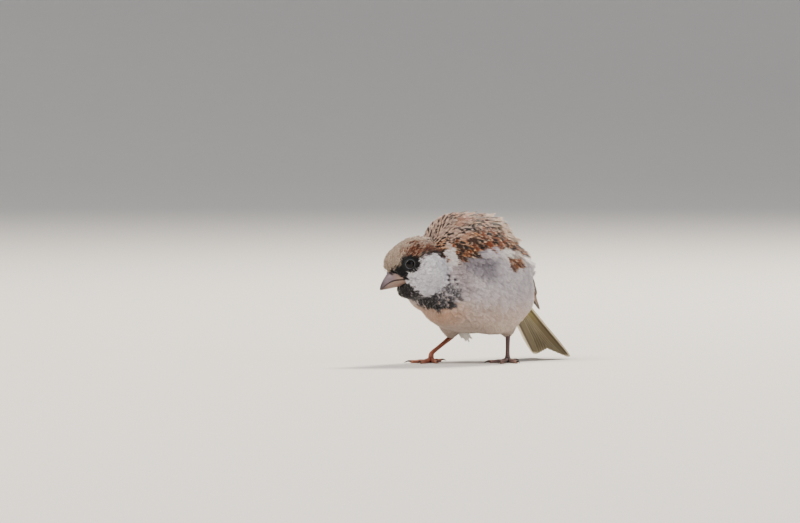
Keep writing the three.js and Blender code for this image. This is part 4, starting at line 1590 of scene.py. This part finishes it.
foot = {
    "voxel": 0.16,
    "toeRadius": 0.96,
    "clawRadius": 0.5,
    "padRadius": 1.75,
    "scute": 0.82,  # length of a scale on the shank and the toes
    "scuteHeight": 0.09,
    "shankHidden": 1.6,  # how far the shank's top runs up into the feathers
    "shank": ((0, 1.3), (0.15, 1.22), (0.35, 1.08), (0.6, 1.02), (0.8, 1.12), (0.9, 1.4), (1, 1.5)),
    # the left leg's colours are a darker, greyer copy of the right leg's: painted shade, as that leg stands
    # in shadow
    "skin": {"right": "#935847", "left": "#6c5c5d"},
    # crease colours: painted shade in the creases between scales and toes
    "groove": {"right": "#52291f", "left": "#382e31"},
    # painted highlight on the raised edges of the scales
    "scuteEdgeHighlight": "#d8a892",
    "claw": "#2e2320", "clawRoot": "#6d5348", "clawGrain": "#1a1412",
}


def wayOf(degrees):
    return -np.array([math.cos(math.radians(degrees)), math.sin(math.radians(degrees)), 0])


def scales(length):
    # A saw edge: each scale rises slowly and ends in a small step.
    return ((length / foot["scute"]) % 1.0) ** 1.5 - 0.4


def triangled(faces):
    quads, caps = faces
    return np.concatenate([quads[:, [0, 1, 2]], quads[:, [0, 2, 3]], caps])


def tube(centres, radii, sides, front, flatten=1.0, relief=0.0):
    # A closed tube along the centres. Front is where its scales sit.
    ways = unit(np.gradient(centres, axis=0))
    across = unit(np.cross(ways, front))
    ahead = np.cross(across, ways)
    turns = around(sides)
    radius = radii[:, None] + np.reshape(relief, (-1, 1)) * ramp(np.sin(turns), -0.1, 0.4)
    points = (centres[:, None] + across[:, None] * (radius * np.cos(turns) * flatten)[..., None]
              + ahead[:, None] * (radius * np.sin(turns))[..., None])
    return points.reshape(-1, 3), triangled(tubeFaces(len(centres), sides))


def toeTube(pad, toe):
    heading, length, _ = toe
    share = np.linspace(0, 1, 120)
    radius = foot["toeRadius"] * np.minimum(1, 0.75 + 1.2 * share) * (1.06 - 0.26 * share)
    radius = radius + 0.09 * np.cos(4 * math.pi * share)
    radius = radius * np.sqrt(np.clip(1 - ((share - 0.93) / 0.08).clip(0, 1) ** 2, 0.02, 1))
    centres = pad + wayOf(heading) * (0.6 + (length - 0.4) * share)[:, None]
    centres[:, 2] = foot["toeRadius"] * 0.82 + 0.9 * np.clip(1 - 3.4 * share, 0, 1)
    relief = foot["scuteHeight"] * scales(share * length) * ramp(share, 0.05, 0.2)
    return tube(centres, radius, 28, (0, 0, 1), relief=relief)


def clawShape(pad, toe):
    heading, length, claw = toe
    share = np.linspace(0, 1, 40)
    centres = pad + wayOf(heading) * (length - 0.6 + (claw + 0.5) * share)[:, None]
    centres[:, 2] = np.interp(share, [0, 0.25, 0.5, 0.78, 1], [0.85, 1.1, 1.14, 0.78, 0.22])
    radius = foot["clawRadius"] * np.interp(share, [0, 0.2, 0.5, 0.8, 1], [1.05, 1, 0.72, 0.44, 0.06])
    points, faces = tube(centres, radius, 16, (0, 0, 1), 0.75)
    return points, [faces], {"share": np.repeat(share, 16)}


def shankTube(leg, pad):
    # From the feathers down to the ankle, and round a soft bend into the ball of the foot.
    top, ankle = np.array(leg["top"]), pad + [0, 0, leg["ankle"]]
    bend = np.array([top - unit(ankle - top) * foot["shankHidden"], ankle, pad + [0, 0, 1.2]])
    along = np.concatenate([[0], np.cumsum(np.linalg.norm(np.diff(bend, axis=0), axis=1))])
    share = np.linspace(0, 1, 160)
    centres = np.stack([np.interp(share * along[-1], along, bend[:, i]) for i in range(3)], axis=1)
    for _ in range(60):
        centres[1:-1] = (centres[:-2] + centres[2:]) / 2
    radii = np.interp(share, *np.array(foot["shank"]).T)
    front = wayOf(leg["toes"][1][0]) + [0, 0, 0.5]
    relief = foot["scuteHeight"] * 1.3 * scales(share * along[-1])
    return tube(centres, radii, 36, front, 0.95, relief)


def padBall(pad):
    # The ball of the foot, where the toes and the shank meet.
    turns, lean = around(32), np.linspace(0.05, math.pi - 0.05, 20)[:, None]
    up = 0.85 * np.cos(lean) + 0 * turns
    ball = np.stack([np.sin(lean) * np.cos(turns), np.sin(lean) * np.sin(turns), up], axis=-1)
    points = foot["padRadius"] * (ball.reshape(-1, 3) + [0, 0, 0.78])
    return points + pad, triangled(tubeFaces(20, 32))[:, ::-1]


def paintLeg(name):
    paint = Paint(f"{name} leg skin")
    groove = paint.trait("groove")
    mottle = paint.noise(paint.place(), 500, 4)
    fine = paint.noise(paint.place(), 2400, 3)
    # the left leg's tint is painted shade
    tint = colour(foot["skin"][name])
    base = paint.mix(mottle, tint * 0.85, tint * 1.15)
    # painted shade in the creases between scales and toes
    base = paint.mix(paint.step(groove, 0.0, 0.05) * 0.8, base, foot["groove"][name])
    # painted highlight on the raised edges of the scales
    base = paint.mix(paint.step(groove, -0.06, -0.01, 0.3, 0.0), base, foot["scuteEdgeHighlight"])
    return paint.finish(base, fine, (0.38, 0.58), (0.4, 0.0001), Subsurface_Weight=0.12,
                        Subsurface_Scale=0.001)


def paintClaw():
    paint = Paint("claw horn")
    grain = paint.noise(paint.place(), 1500, 3)
    base = paint.mix(paint.step(paint.trait("share"), 0.1, 0.4), foot["clawRoot"], foot["claw"])
    base = paint.mix(grain * 0.3, base, foot["clawGrain"])
    return paint.finish(base, grain, (0.25, 0.4), (0.2, 0.00005))


def makeLegs():
    clawPaint = paintClaw()
    for name, leg in legs.items():
        pad = np.array([*leg["pad"], 0.0])
        tubes = [toeTube(pad, toe) for toe in leg["toes"]] + [shankTube(leg, pad), padBall(pad)]
        points, faces = voxelShell(tubes, foot["voxel"], 0.0)
        points = relaxed(points, faces, 1)
        points[:, 2] = points[:, 2].clip(0)
        smooth = relaxed(points, faces, 12)
        # how far each point lies sunk below the smoothed surface: it sets the painted crease shade and the
        # painted highlight on ridges
        groove = dot(smooth - points, normalsOf(points, faces))
        toeNames = [f"toe_{name}_{toe}" for toe in ("outer", "middle", "inner", "hind")]
        addPiece(f"leg_{name}", points, [faces], paintLeg(name), {"groove": groove},
                 nodes=[f"shank_{name}", *toeNames])
        points, faces, traits = joined([clawShape(pad, toe) for toe in leg["toes"]])
        points[:, 2] = points[:, 2].clip(0)
        addPiece(f"claws_{name}", points, faces, clawPaint, traits)
        print(name, "leg made")


makeLegs()
